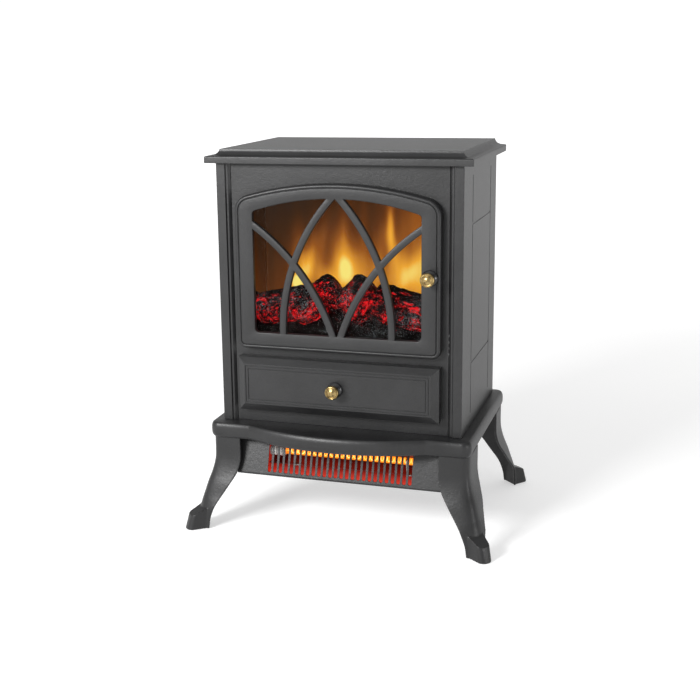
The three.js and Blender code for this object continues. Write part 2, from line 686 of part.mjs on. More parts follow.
// Each lattice bar is part of a ring: centre x and z, then radius. Its mirror image crosses it.
const TALL_ARC = { x: -179.2, z: 268.3, radius: 249.7 };
const LOW_ARC = { x: 263.4, z: 178.3, radius: 272.2 };
const PIN_RADIUS = 1.4;
const HINGE_THICK = 2.6;

function windowOutline() {
  return archedOutline(WINDOW_HALF, WINDOW_BOTTOM, WINDOW_APEX, WINDOW_ARCH, 4, 5);
}

function latticeBar({ x, z, radius }, from, to) {
  const shape = new THREE.Shape();
  shape.absarc(x, z, radius + LATTICE_WIDTH / 2, from, to, false);
  shape.absarc(x, z, radius - LATTICE_WIDTH / 2, to, from, true);
  return alongY(shape, LATTICE_FRONT, PANE_FRONT - GAP, 10);
}

// The four bars, trimmed to the window with a little to spare so that they root in the frame.
function lattice() {
  const degrees = THREE.MathUtils.degToRad;
  const tall = latticeBar(TALL_ARC, degrees(-5), degrees(45));
  const low = latticeBar(LOW_ARC, degrees(118), degrees(165));
  const room = alongY(
    archedOutline(WINDOW_HALF + 2, WINDOW_BOTTOM - 2, WINDOW_APEX + 2, WINDOW_ARCH + 2, 4, 5),
    LATTICE_FRONT - 1, PANE_FRONT, 10,
  );
  return common(join(tall, low, mirrored(tall), mirrored(low)), room);
}

function doorBlank() {
  const outline = archedOutline(
    DOOR_HALF - DOOR_EDGE_ROUND, DOOR_BOTTOM + DOOR_EDGE_ROUND, DOOR_APEX - DOOR_EDGE_ROUND,
    DOOR_ARCH - DOOR_EDGE_ROUND, 6, 16,
  );
  const deep = DOOR_BACK - DOOR_FRONT;
  const soft = new THREE.ExtrudeGeometry(outline, {
    depth: deep, bevelEnabled: true, bevelThickness: DOOR_EDGE_ROUND, bevelSize: DOOR_EDGE_ROUND,
    bevelSegments: 3, curveSegments: 8,
  }).rotateX(Math.PI / 2).translate(0, DOOR_BACK + DOOR_EDGE_ROUND, 0);
  const behind = box(-150, 150, DOOR_BACK, DOOR_BACK + 20, 200, 500);
  return cut(soft, behind);
}

// Slots in the back for the hinge arms, bores for the pins, and a rounded edge on the hinge side.
function doorHingeCuts() {
  const { x, y } = DOOR_PIVOT;
  const edge = Math.abs(-DOOR_HALF - x);
  const backCorner = cut(
    box(-DOOR_HALF - 2, x, y, DOOR_BACK + 1, DOOR_BOTTOM - 1, DOOR_APEX),
    rodZ(x, y, edge, DOOR_BOTTOM - 2, DOOR_APEX + 1, 40),
  );
  const slots = DOOR_HINGE_HEIGHTS.flatMap((z) => {
    const low = z - HINGE_THICK / 2 - GAP;
    const high = z + HINGE_THICK / 2 + GAP;
    return [
      rodZ(x, y, 3.5, low, high, 16),
      box(x - 0.5, x + 17, y - 3.4, DOOR_BACK + 1, low, high),
      box(-DOOR_HALF - 2, x, y + 1.4, DOOR_BACK + 1, low, high),
    ];
  });
  const bores = [
    rodZ(x, y, PIN_RADIUS + 0.35, DOOR_BOTTOM - 1, DOOR_HINGE_HEIGHTS[0] + 11, 12),
    rodZ(x, y, PIN_RADIUS + 0.35, DOOR_HINGE_HEIGHTS[1] - 11, DOOR_APEX, 12),
  ];
  return [backCorner, ...slots, ...bores];
}

const DOOR_KNOB = new THREE.Vector2(118.5, 344);       // x, z
const FLAP_KNOB = new THREE.Vector2(0, 198.5);
const SCREW_HOLE = 1.9;

const doorFrame = cut(
  join(
    cut(doorBlank(), alongY(windowOutline(), DOOR_FRONT - 9, DOOR_BACK + 1, 8)),
    lattice(),
  ),
  alongY(
    archedOutline(PANE_HALF + GAP, PANE_BOTTOM - GAP, PANE_APEX + GAP, PANE_ARCH, 4, 5),
    PANE_FRONT - GAP, DOOR_BACK + 1, 8,
  ),
  ...doorHingeCuts(),
  rodY(DOOR_KNOB.x, DOOR_KNOB.y, SCREW_HOLE, DOOR_FRONT - 9, DOOR_BACK + 1, 10),
  rodY(DOOR_KNOB.x, DOOR_KNOB.y, 4, -109, DOOR_BACK + 1, 12),
);
add('door_frame', doorFrame, blackPaint);
add('door_pane', alongY(
  archedOutline(PANE_HALF, PANE_BOTTOM, PANE_APEX, PANE_ARCH, 4, 5), PANE_FRONT, PANE_BACK, 6,
), clearGlass);

// A knob faces forward: a black foot and stem, and a domed face inside a raised rim.
function knob(centre, seat) {
  const profile = [
    [0, 3], [1.5, 3], [1.5, 0], [6.2, 0], [6.2, 2.5], [4.4, 4], [4.4, 8.5],
    [8, 10.5], [KNOB_RADIUS, 12.5], [KNOB_RADIUS, 15], [7.8, 16.6], [6.4, 16], [3.4, 17.4], [0, 18],
  ].map(([radius, along]) => new THREE.Vector2(radius, along));
  return new THREE.LatheGeometry(profile, 20).rotateX(Math.PI).translate(centre.x, seat - GAP, centre.y);
}
add('door_knob', knob(DOOR_KNOB, DOOR_FRONT), agedBrass);

function knobScrew(centre, headSeat, tip) {
  return join(
    rodY(centre.x, centre.y, 1.15, tip, headSeat + 1, 8),
    rodY(centre.x, centre.y, 3.2, headSeat, headSeat + 1.8, 12),
  );
}
add('door_knob_screw', knobScrew(DOOR_KNOB, -108.7, DOOR_FRONT - GAP - 2.6), bareSteel);

// The door's hinge arms come through the window of the front panel and turn in to meet the pins.
function doorHingeArm(z) {
  const { x, y } = DOOR_PIVOT;
  const low = z - HINGE_THICK / 2;
  const high = z + HINGE_THICK / 2;
  const outer = x + 11.2;
  const inner = x + 8.8;
  const back = PANEL_BACK + 1.8;
  const arm = polygon([
    [x, y - 2.6], [outer, y - 2.6], [outer, back], [inner, back], [inner, y + 2.6], [x, y + 2.6],
  ]);
  return cut(
    join(
      alongZ(arm, low, high),
      rodZ(x, y, 2.9, low, high, 16),
      box(x - 4, outer, PANEL_BACK + GAP, back, z - 7, z + 7),
    ),
    rodZ(x, y, PIN_RADIUS + 0.35, low - 1, high + 1, 12),
  );
}
const pinEnds = [
  [DOOR_BOTTOM + 1.5, DOOR_HINGE_HEIGHTS[0] + 10],
  [DOOR_HINGE_HEIGHTS[1] - 10, DOOR_HINGE_HEIGHTS[1] + 14],
];
['lower', 'upper'].forEach((place, i) => {
  add(`door_hinge_${place}`, doorHingeArm(DOOR_HINGE_HEIGHTS[i]), bareSteel);
  add(`door_pin_${place}`, rodZ(DOOR_PIVOT.x, DOOR_PIVOT.y, PIN_RADIUS, ...pinEnds[i], 12), bareSteel);
});

add('door_magnet', box(120.5, 129, PANEL_BACK + GAP, PANEL_BACK + 6, 290, 312), blackPlastic);

// ---------------------------------------------------------------- control flap

const FLAP_WALL = 2.5;
const FLAP_FIELD = { half: 121.6, low: 172, high: 224.3 };     // front face inside the bevelled border
const FLAP_LINES = [1.6, 5.2];         // how far in from the field's edge each fine groove runs
const FLAP_LINE_WIDTH = 1.4;
const FLAP_EAR = [117, 119.4];         // x reach of a hinge ear

// A block whose front face is smaller than its back face, all in X and Z.
function taperedBlock(back, front, backY, frontY) {
  const geometry = box(-back.half, back.half, frontY, backY, back.low, back.high);
  const position = geometry.attributes.position;
  const middle = (back.low + back.high) / 2;
  const halfway = (backY + frontY) / 2;
  for (let i = 0; i < position.count; i += 1) {
    if (position.getY(i) < halfway) {
      position.setX(i, Math.sign(position.getX(i)) * front.half);
      position.setZ(i, position.getZ(i) < middle ? front.low : front.high);
    }
  }
  return geometry;
}

function insetBy(rect, amount) {
  return { half: rect.half - amount, low: rect.low + amount, high: rect.high - amount };
}

function flapLine(inset) {
  const outer = insetBy(FLAP_FIELD, inset);
  const inner = insetBy(FLAP_FIELD, inset + FLAP_LINE_WIDTH);
  const ring = polygon([
    [-outer.half, outer.low], [outer.half, outer.low], [outer.half, outer.high], [-outer.half, outer.high],
  ]);
  ring.holes.push(polygon([
    [-inner.half, inner.low], [-inner.half, inner.high], [inner.half, inner.high], [inner.half, inner.low],
  ]));
  return alongY(ring, FLAP_FRONT - 1, FLAP_FRONT + 0.9);
}

function controlFlap() {
  const outline = { half: FLAP_HALF, low: FLAP_BOTTOM, high: FLAP_TOP };
  const inside = insetBy(outline, FLAP_WALL);
  const body = join(
    taperedBlock(outline, outline, DOOR_BACK, FLAP_EDGE),
    taperedBlock(outline, FLAP_FIELD, FLAP_EDGE, FLAP_FRONT),
  );
  const hollow = join(
    taperedBlock(inside, inside, DOOR_BACK + 1, FLAP_EDGE + 0.5),
    taperedBlock(inside, insetBy(FLAP_FIELD, 1), FLAP_EDGE + 0.5, FLAP_FRONT + FLAP_WALL),
  );
  const { x: pivotY, y: pivotZ } = FLAP_PIVOT;
  const backCorner = cut(
    box(-FLAP_HALF - 1, FLAP_HALF + 1, pivotY, DOOR_BACK + 1, FLAP_BOTTOM - 1, pivotZ),
    rodX(pivotY, pivotZ, DOOR_BACK - pivotY, -FLAP_HALF - 2, FLAP_HALF + 2, 32),
  );
  const bosses = [-1, 1].map((side) => {
    const ends = [side * 125.5, side * (FLAP_HALF - 1)].sort((a, b) => a - b);
    return rodX(pivotY, pivotZ, 3.6, ...ends, 12);
  });
  const bores = [-1, 1].map((side) => {
    const ends = [side * 125, side * (FLAP_HALF - 0.5)].sort((a, b) => a - b);
    return rodX(pivotY, pivotZ, PIN_RADIUS + 0.35, ...ends, 12);
  });
  const shell = cut(body, hollow, backCorner, ...FLAP_LINES.map(flapLine));
  const knobHole = rodY(FLAP_KNOB.x, FLAP_KNOB.y, SCREW_HOLE, FLAP_FRONT - 1, FLAP_EDGE, 10);
  return cut(join(shell, ...bosses), ...bores, knobHole);
}
add('control_flap', controlFlap(), blackPaint);
add('flap_knob', knob(FLAP_KNOB, FLAP_FRONT), agedBrass);
const flapScrewSeat = FLAP_FRONT + FLAP_WALL + GAP;
add('flap_knob_screw', knobScrew(FLAP_KNOB, flapScrewSeat, FLAP_FRONT - GAP - 2.6), bareSteel);

// An ear comes through the recess, turns down to the pivot and carries a pin stub on its outer side.
function flapHinge(side) {
  const { x: y, y: z } = FLAP_PIVOT;
  const arm = polygon([
    [y - 2.7, z], [y + 2.7, z], [y + 2.7, z + 5.4], [PANEL_BACK + 1.6, z + 5.4],
    [PANEL_BACK + 1.6, z + 8], [y - 2.7, z + 8],
  ]);
  const [inner, outer] = FLAP_EAR;
  const ear = join(
    alongX(arm, inner, outer),
    rodX(y, z, 2.8, inner, outer, 16),
    box(inner - 8, outer, PANEL_BACK + GAP, PANEL_BACK + 1.8, z - 2.4, z + 8),
    rodX(y, z, PIN_RADIUS, inner + 0.5, FLAP_HALF - 0.9, 12),
  );
  return side > 0 ? ear : mirrored(ear);
}
add('flap_hinge_left', flapHinge(-1), bareSteel);
add('flap_hinge_right', flapHinge(1), bareSteel);

// ---------------------------------------------------------------- controls behind the flap

const TRAY_FLOOR = TRAY_BACK - 1.5;    // the face that the controls come through
const POWER_X = -66;
const HEAT_X = -34;
const LAMP_X = 4;
const DIAL_X = 55;
const ROCKER_TILT = THREE.MathUtils.degToRad(9);

function switchHole(x) {
  const half = 6.7;
  const reach = 9.7;
  return box(x - half, x + half, TRAY_FLOOR - 1, TRAY_BACK + 1, SWITCH_Z - reach, SWITCH_Z + reach);
}

add('control_tray', cut(
  box(-TRAY_HALF - 1.2, TRAY_HALF + 1.2, PANEL_BACK + GAP, TRAY_BACK, TRAY_BOTTOM - 1.2, TRAY_TOP + 1.2),
  box(-TRAY_HALF, TRAY_HALF, PANEL_BACK - 1, TRAY_FLOOR, TRAY_BOTTOM, TRAY_TOP),
  switchHole(POWER_X),
  switchHole(HEAT_X),
  rodY(LAMP_X, SWITCH_Z, 3.4, TRAY_FLOOR - 1, TRAY_BACK + 1, 12),
  rodY(DIAL_X, SWITCH_Z, 3.8, TRAY_FLOOR - 1, TRAY_BACK + 1, 12),
), blackPaint);

function switchBody(x) {
  return cut(
    join(
      box(x - 6.3, x + 6.3, TRAY_FLOOR - 1.2, TRAY_BACK + 11, SWITCH_Z - 9.3, SWITCH_Z + 9.3),
      box(x - 8, x + 8, TRAY_FLOOR - 2.3, TRAY_FLOOR - GAP, SWITCH_Z - 11, SWITCH_Z + 11),
    ),
    box(x - 5.4, x + 5.4, TRAY_FLOOR - 3, TRAY_BACK + 6, SWITCH_Z - 8.5, SWITCH_Z + 8.5),
  );
}

// A rocker is drawn level about its pivot, then tipped to its off position.
function rocker(x) {
  const section = polygon([[-4, -7.6], [2, -5], [3, 0], [2, 5], [-4, 7.6], [-2.6, 0]]);
  const level = alongX(section, x - 5, x + 5);
  return level.rotateX(-ROCKER_TILT).translate(0, TRAY_FLOOR + 1, SWITCH_Z);
}
add('power_switch', switchBody(POWER_X), blackPlastic);
add('heat_switch', switchBody(HEAT_X), blackPlastic);
add('power_rocker', rocker(POWER_X), blackPlastic);
add('heat_rocker', rocker(HEAT_X), blackPlastic);

const lensProfile = [[0, 4], [2.9, 4], [2.9, -GAP], [4.4, -GAP], [4.4, -1.4], [2.6, -2.8], [0, -3.2]]
  .map(([radius, along]) => new THREE.Vector2(radius, along)).reverse();
add('indicator_lens', new THREE.LatheGeometry(lensProfile, 14).translate(LAMP_X, TRAY_FLOOR, SWITCH_Z), {
  color: 0xc83018, roughness: 0.2, metalness: 0.0,
});

const dialProfile = [[0, 12], [3, 12], [3, -1], [13, -1], [13, -4], [11.4, -13.5], [10.4, -14.5], [0, -14.5]]
  .map(([radius, along]) => new THREE.Vector2(radius, along)).reverse();
add('thermostat_knob', join(
  new THREE.LatheGeometry(dialProfile, 24).translate(DIAL_X, TRAY_FLOOR, SWITCH_Z),
  box(DIAL_X - 0.9, DIAL_X + 0.9, TRAY_FLOOR - 15.6, TRAY_FLOOR - 10, SWITCH_Z + 1, SWITCH_Z + 10),
), blackPlastic);
add('thermostat', cut(
  box(DIAL_X - 13, DIAL_X + 13, TRAY_BACK + GAP, TRAY_BACK + 18, SWITCH_Z - 12, SWITCH_Z + 12),
  rodY(DIAL_X, SWITCH_Z, 3.4, TRAY_BACK, TRAY_BACK + 12, 12),
), blackPlastic);

// ---------------------------------------------------------------- firebox and flame effect

const LINER_INSIDE = LINER_HALF - LINER_SHEET;
const LINER_FLOOR = LINER_BOTTOM + LINER_SHEET;
const SPINDLE_RADIUS = 2;
const PADDLE_COUNT = 9;

const LINER_ROOF = LINER_TOP - LINER_SHEET;
add('firebox_liner', cut(
  box(-LINER_HALF, LINER_HALF, LINER_FRONT, LINER_BACK, LINER_BOTTOM, LINER_TOP),
  box(-LINER_INSIDE, LINER_INSIDE, LINER_FRONT - 1, LINER_BACK - LINER_SHEET, LINER_FLOOR, LINER_ROOF),
  rodX(SPINDLE_Y, SPINDLE_Z, SPINDLE_RADIUS + 0.4, -LINER_HALF - 1, -LINER_INSIDE + 1, 16),
  rodX(SPINDLE_Y, SPINDLE_Z, 5, LINER_INSIDE - 1, LINER_HALF + 1, 16),
), bareSteel);

const screenHalf = LINER_INSIDE - GAP;
add('flame_screen', box(
  -screenHalf, screenHalf, SCREEN_Y - 1, SCREEN_Y + 1, LINER_FLOOR + GAP, LINER_ROOF - GAP,
), screenAmber);

function flickerSpindle() {
  const paddles = [];
  for (let i = 0; i < PADDLE_COUNT; i += 1) {
    const x = (i - (PADDLE_COUNT - 1) / 2) * 22;
    const paddle = new THREE.BoxGeometry(18, 26, 0.8).rotateX((i * Math.PI * 2) / 5).rotateZ(0.12);
    paddles.push(paddle.translate(x, SPINDLE_Y, SPINDLE_Z));
  }
  return join(rodX(SPINDLE_Y, SPINDLE_Z, SPINDLE_RADIUS, -LINER_HALF - 3, LINER_HALF + 8, 12), ...paddles);
}
add('flicker_spindle', flickerSpindle(), polishedSteel);

add('spindle_motor', cut(
  join(
    rodX(SPINDLE_Y, SPINDLE_Z, 17, LINER_HALF + GAP, LINER_HALF + 17, 20),
    rodX(SPINDLE_Y, SPINDLE_Z, 4.6, LINER_INSIDE - 5, LINER_HALF + 2, 16),
  ),
  rodX(SPINDLE_Y, SPINDLE_Z, SPINDLE_RADIUS + 0.4, LINER_INSIDE - 6, LINER_HALF + 9, 16),
), blackPlastic);

// A strip of circuit board with a row of lamps standing on it.
function lampBoard(front, back, count) {
  const low = LINER_FLOOR + GAP;
  const lamps = [];
  for (let i = 0; i < count; i += 1) {
    const x = (i - (count - 1) / 2) * (190 / count);
    const middle = (front + back) / 2;
    lamps.push(box(x - 2.5, x + 2.5, middle - 2.5, middle + 2.5, low + 1, low + 3.2));
  }
  return join(box(-104, 104, front, back, low, low + 1.6), ...lamps);
}
add('flame_lamp_board', lampBoard(-6, 10, 5), circuitGreen);
add('ember_lamp_board', lampBoard(-86, -66, 6), circuitGreen);

const BED_TOP = 262;
const BED_FRONT = -100.6;
const BED_BACK = SCREEN_Y - 1 - GAP;
const bedSection = polygon([
  [BED_FRONT, LINER_FLOOR + GAP], [BED_BACK, LINER_FLOOR + GAP], [BED_BACK, BED_TOP],
  [BED_FRONT + 8, BED_TOP], [BED_FRONT, BED_TOP - 4],
]);
add('ember_bed', cut(
  alongX(bedSection, -LINER_INSIDE + GAP, LINER_INSIDE - GAP),
  box(-113.5, 113.5, BED_FRONT + 3, BED_BACK - 3, LINER_FLOOR - 1, BED_TOP - 5),
), charredResin);

// ---------------------------------------------------------------- logs

// Each log tapers between two ends; `ends` are x, y, z and radius.
const logs = {
  log_left: [[-116, -76, 283, 20], [-50, -74, 296, 21]],
  log_centre_left: [[-66, -84, 279, 17], [-11, -72, 312, 23]],
  log_centre_right: [[-4, -84, 284, 22], [31, -75, 312.5, 26]],
  log_right: [[42, -78, 300, 21], [116, -77, 283, 21]],
};

function logBar([[x0, y0, z0, r0], [x1, y1, z1, r1]], grow) {
  const from = new THREE.Vector3(x0, y0, z0);
  const along = new THREE.Vector3(x1, y1, z1).sub(from);
  const heading = along.clone().normalize();
  const geometry = new THREE.CylinderGeometry(r1 + grow, r0 + grow, along.length() + 2 * grow, 12, 1);
  const turn = new THREE.Quaternion().setFromUnitVectors(new THREE.Vector3(0, 1, 0), heading);
  const middle = from.addScaledVector(along, 0.5);
  return geometry.applyQuaternion(turn).translate(middle.x, middle.y, middle.z);
}

// The logs lie against each other: each is trimmed by the ones before it and by the firebox.
function logPile() {
  const room = box(
    -LINER_INSIDE + GAP, LINER_INSIDE - GAP, BED_FRONT, BED_BACK, BED_TOP + GAP, LINER_TOP - 20,
  );
  const before = [];
  for (const name of ['log_centre_right', 'log_centre_left', 'log_left', 'log_right']) {
    const trimmed = common(cut(logBar(logs[name], 0), ...before), room);
    add(name, trimmed, charredResin);
    before.push(logBar(logs[name], GAP));
  }
}
logPile();

export default stove;
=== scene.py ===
"""Looks for a stove-style electric fireplace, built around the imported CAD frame. Metres, +Z up."""

import math

import bmesh
import bpy
from mathutils import Matrix, Vector, noise


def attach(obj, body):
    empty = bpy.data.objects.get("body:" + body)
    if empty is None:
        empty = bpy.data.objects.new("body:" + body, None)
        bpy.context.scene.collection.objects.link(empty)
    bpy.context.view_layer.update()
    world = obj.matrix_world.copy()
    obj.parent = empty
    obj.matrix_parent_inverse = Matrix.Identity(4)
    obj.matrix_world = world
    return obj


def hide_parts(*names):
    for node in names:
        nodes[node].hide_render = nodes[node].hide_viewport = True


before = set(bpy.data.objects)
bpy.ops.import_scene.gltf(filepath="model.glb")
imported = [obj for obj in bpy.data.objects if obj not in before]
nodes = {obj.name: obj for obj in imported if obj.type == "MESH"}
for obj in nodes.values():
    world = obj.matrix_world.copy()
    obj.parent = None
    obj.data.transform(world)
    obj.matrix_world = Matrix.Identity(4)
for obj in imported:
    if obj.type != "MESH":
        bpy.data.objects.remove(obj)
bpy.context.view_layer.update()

MM = 0.001
scene = bpy.context.scene
scene.view_settings.view_transform = "Standard"

# ---------------------------------------------------------------- material helpers


class Finish:
    """A Principled material with short calls for the nodes that feed it."""

    def __init__(self, name, color=(0.5, 0.5, 0.5), rough=0.5, metal=0.0, spec=0.5):
        self.mat = bpy.data.materials.new(name)
        self.mat.use_nodes = True
        self.tree = self.mat.node_tree
        self.bsdf = self.tree.nodes["Principled BSDF"]
        self.set("Base Color", (*color, 1.0))
        self.set("Roughness", rough)
        self.set("Metallic", metal)
        self.set("Specular IOR Level", spec)
        self.coords = self.tree.nodes.new("ShaderNodeTexCoord").outputs["Object"]

    def set(self, socket, value):
        self.bsdf.inputs[socket].default_value = value

    def feed(self, socket, source):
        self.tree.links.new(source, self.bsdf.inputs[socket])

    def give(self, socket, value):
        """Links a node's output to a socket, or sets a plain value on it."""
        if isinstance(value, bpy.types.NodeSocket):
            self.tree.links.new(value, socket)
        else:
            socket.default_value = value

    def node(self, kind, **inputs):
        made = self.tree.nodes.new(kind)
        for name, value in inputs.items():
            self.give(made.inputs[name], value)
        return made

    def split(self):
        """The X, Y and Z of a point on the object, in metres."""
        made = self.node("ShaderNodeSeparateXYZ", Vector=self.coords)
        return made.outputs["X"], made.outputs["Y"], made.outputs["Z"]

    def math(self, operation, first, second=0.0, third=0.0):
        made = self.tree.nodes.new("ShaderNodeMath")
        made.operation = operation
        for socket, value in zip(made.inputs, (first, second, third)):
            self.give(socket, value)
        return made.outputs[0]

    def blend(self, share, first, second, mode="MIX"):
        """Mixes two colours in the given mode."""
        made = self.tree.nodes.new("ShaderNodeMix")
        made.data_type = "RGBA"
        made.blend_type = mode
        for place, value in ((0, share), (6, first), (7, second)):
            self.give(made.inputs[place], value)
        return made.outputs[2]

    def show(self, shader):
        """Shows another shader in place of the Principled one."""
        self.tree.nodes.remove(self.bsdf)
        self.tree.links.new(shader, self.tree.nodes["Material Output"].inputs["Surface"])

    def stretched(self, scale):
        mapping = self.node("ShaderNodeMapping", Vector=self.coords)
        mapping.inputs["Scale"].default_value = scale
        return mapping.outputs[0]

    def noise(self, scale, detail=3.0, rough=0.5, distortion=0.0, vector=None):
        made = self.node(
            "ShaderNodeTexNoise", Vector=vector or self.coords, Scale=scale,
            Detail=detail, Roughness=rough, Distortion=distortion,
        )
        return made.outputs["Fac"]

    def ramp(self, source, *stops):
        made = self.tree.nodes.new("ShaderNodeValToRGB")
        self.tree.links.new(source, made.inputs["Fac"])
        elements = made.color_ramp.elements
        while len(elements) < len(stops):
            elements.new(0.5)
        for element, (place, color) in zip(elements, stops):
            element.position = place
            element.color = (*color, 1.0) if isinstance(color, tuple) else (color, color, color, 1.0)
        return made.outputs["Color"]

    def bump(self, height, strength, distance):
        made = self.node("ShaderNodeBump", Height=height, Strength=strength, Distance=distance)
        self.feed("Normal", made.outputs["Normal"])


def painted(name, tone, rough):
    """Fine-textured satin enamel: a faint mottle in the tone, and a powder-coat grain."""
    made = Finish(name, (tone, tone, tone), rough, spec=0.36)
    mottle = made.noise(16.0, detail=6.0, rough=0.65)
    low, high = tone * 0.7, tone * 1.3
    dark, light = (low, low, low * 1.03), (high, high, high * 1.04)
    made.feed("Base Color", made.ramp(mottle, (0.3, dark), (0.7, light)))
    fine = made.noise(900.0, detail=3.0)
    made.feed("Roughness", made.math("MULTIPLY_ADD", fine, 0.2, rough - 0.1))
    coarse = made.noise(240.0, detail=3.0)
    made.bump(made.math("ADD", fine, made.math("MULTIPLY", coarse, 1.6)), 0.35, 0.0004)
    return made.mat


def moulded(name, color, rough):
    """Moulded plastic with a faint spark-eroded grain."""
    made = Finish(name, color, rough)
    grain = made.noise(1900.0, detail=1.0)
    made.feed("Roughness", made.math("MULTIPLY_ADD", grain, 0.12, rough - 0.06))
    made.bump(grain, 0.2, 0.00008)
    return made.mat


def sheet_steel(name, color, rough, brush=(60.0, 900.0, 900.0)):
    """Plated or brushed steel: long fine streaks in roughness and tone."""
    made = Finish(name, color, rough, metal=1.0)
    streaks = made.noise(1.0, detail=4.0, vector=made.stretched(brush))
    dull = tuple(c * 0.82 for c in color)
    made.feed("Base Color", made.ramp(streaks, (0.25, dull), (0.75, color)))
    made.feed("Roughness", made.math("MULTIPLY_ADD", streaks, 0.18, rough - 0.09))
    made.bump(streaks, 0.12, 0.00005)
    return made.mat


def antique_brass():
    """Brass with dark patina in patches and a slightly pitted surface."""
    made = Finish("antique_brass", (0.5, 0.37, 0.16), 0.3, metal=1.0)
    patina = made.noise(330.0, detail=5.0, rough=0.65)
    made.feed("Base Color", made.ramp(
        patina, (0.34, (0.11, 0.076, 0.033)), (0.55, (0.34, 0.245, 0.105)), (0.8, (0.54, 0.41, 0.19)),
    ))
    made.feed("Roughness", made.math("MULTIPLY_ADD", patina, 0.3, 0.18))
    made.bump(made.noise(900.0), 0.25, 0.0001)
    return made.mat


def clear_sheet(name, tint, rough):
    """A thin clear pane: mostly straight through, with a Fresnel reflection."""
    made = Finish(name)
    through = made.node("ShaderNodeBsdfTransparent", Color=(*tint, 1.0))
    gloss = made.node("ShaderNodeBsdfGlossy", Color=(1.0, 1.0, 1.0, 1.0), Roughness=rough)
    fresnel = made.node("ShaderNodeFresnel", IOR=1.45)
    smear = made.noise(14.0, detail=4.0)
    share = made.math("MULTIPLY", fresnel.outputs[0], made.math("MULTIPLY_ADD", smear, 0.03, 0.03))
    mix = made.node("ShaderNodeMixShader", Fac=share)
    made.give(mix.inputs[1], through.outputs[0])
    made.give(mix.inputs[2], gloss.outputs[0])
    made.show(mix.outputs[0])
    return made.mat


def glowing(name, color, strength):
    """Hot wire: the glow is a little uneven along the turns."""
    made = Finish(name, (0.1, 0.05, 0.03), 0.6)
    uneven = made.noise(60.0, detail=2.0)
    made.feed("Emission Color", made.ramp(uneven, (0.3, (1.0, 0.3, 0.03)), (0.62, color)))
    made.set("Emission Strength", strength)
    return made.mat


# Flames on the screen: centre x and z, half width and height in millimetres, lean to the right as they
# rise, and strength.
FLAMES = [
    (-10, 340, 10, 13, -0.10, 0.40), (-8, 352, 12, 26, -0.05, 0.34), (-14, 320, 22, 14, 0.0, 0.34),
    (-8, 384, 6, 30, 0.08, 0.14), (-20, 370, 5, 26, 0.15, 0.08), (50, 392, 5, 22, -0.06, 0.34),
    (55, 366, 9, 24, -0.25, 0.26), (72, 332, 26, 22, 0.25, 0.34), (52, 412, 4, 14, 0.0, 0.12),
    (88, 352, 9, 34, 0.55, 0.20), (84, 394, 20, 34, 0.1, 0.18), (-32, 372, 14, 30, 0.0, 0.08),
    (108, 372, 7, 40, 0.35, 0.14), (104, 330, 16, 26, 0.3, 0.24), (34, 340, 7, 40, 0.1, 0.12),
    (-76, 318, 7, 10, 0.2, 0.62), (-66, 330, 10, 20, 0.3, 0.30), (-54, 348, 8, 34, 0.2, 0.18),
    (-36, 326, 14, 18, 0.0, 0.22), (-38, 372, 5, 40, 0.1, 0.10), (-66, 342, 13, 22, 0.2, 0.26),
    (-72, 370, 9, 26, 0.1, 0.16), (16, 392, 5, 26, 0.0, 0.08), (14, 342, 15, 26, 0.1, 0.22),
]


def flame_glow(name):
    """A lit diffusing sheet with soft flames that fade into dark brown at the top left."""
    made = Finish(name, (0.004, 0.003, 0.002), 0.9, spec=0.0)
    x, _, z = made.split()
    sway = made.noise(1.0, detail=2.0, vector=made.stretched((18.0, 1.0, 9.0)))
    x = made.math("ADD", x, made.math("MULTIPLY_ADD", sway, 0.018, -0.009))
    level = made.math("MULTIPLY_ADD", z, -1.7, 0.87)
    total = made.math("ADD", level, x)
    for centre_x, centre_z, wide, tall, lean, strength in FLAMES:
        shifted = made.math("SUBTRACT", x, (centre_x - lean * centre_z) * MM)
        across = made.math("SUBTRACT", shifted, made.math("MULTIPLY", z, lean))
        across = made.math("MULTIPLY", across, 1 / (wide * MM))
        up = made.math("MULTIPLY", made.math("SUBTRACT", z, centre_z * MM), 1 / (tall * MM))
        far = made.math("ADD", made.math("MULTIPLY", across, across), made.math("MULTIPLY", up, up))
        glow = made.math("POWER", math.e, made.math("MULTIPLY", far, -0.7))
        total = made.math("MULTIPLY_ADD", glow, strength, total)
    streak = made.noise(1.0, detail=3.0, vector=made.stretched((70.0, 1.0, 8.0)))
    total = made.math("ADD", total, made.math("MULTIPLY_ADD", streak, 0.2, -0.1))
    color = made.ramp(
        total,
        (0.00, (0.018, 0.013, 0.011)), (0.12, (0.045, 0.017, 0.006)), (0.28, (0.115, 0.033, 0.007)),
        (0.46, (0.29, 0.085, 0.012)), (0.62, (0.60, 0.23, 0.024)), (0.80, (0.88, 0.40, 0.035)),
        (1.00, (0.97, 0.80, 0.20)),
    )
    made.feed("Emission Color", color)
    made.set("Emission Strength", 1.0)
    return made.mat


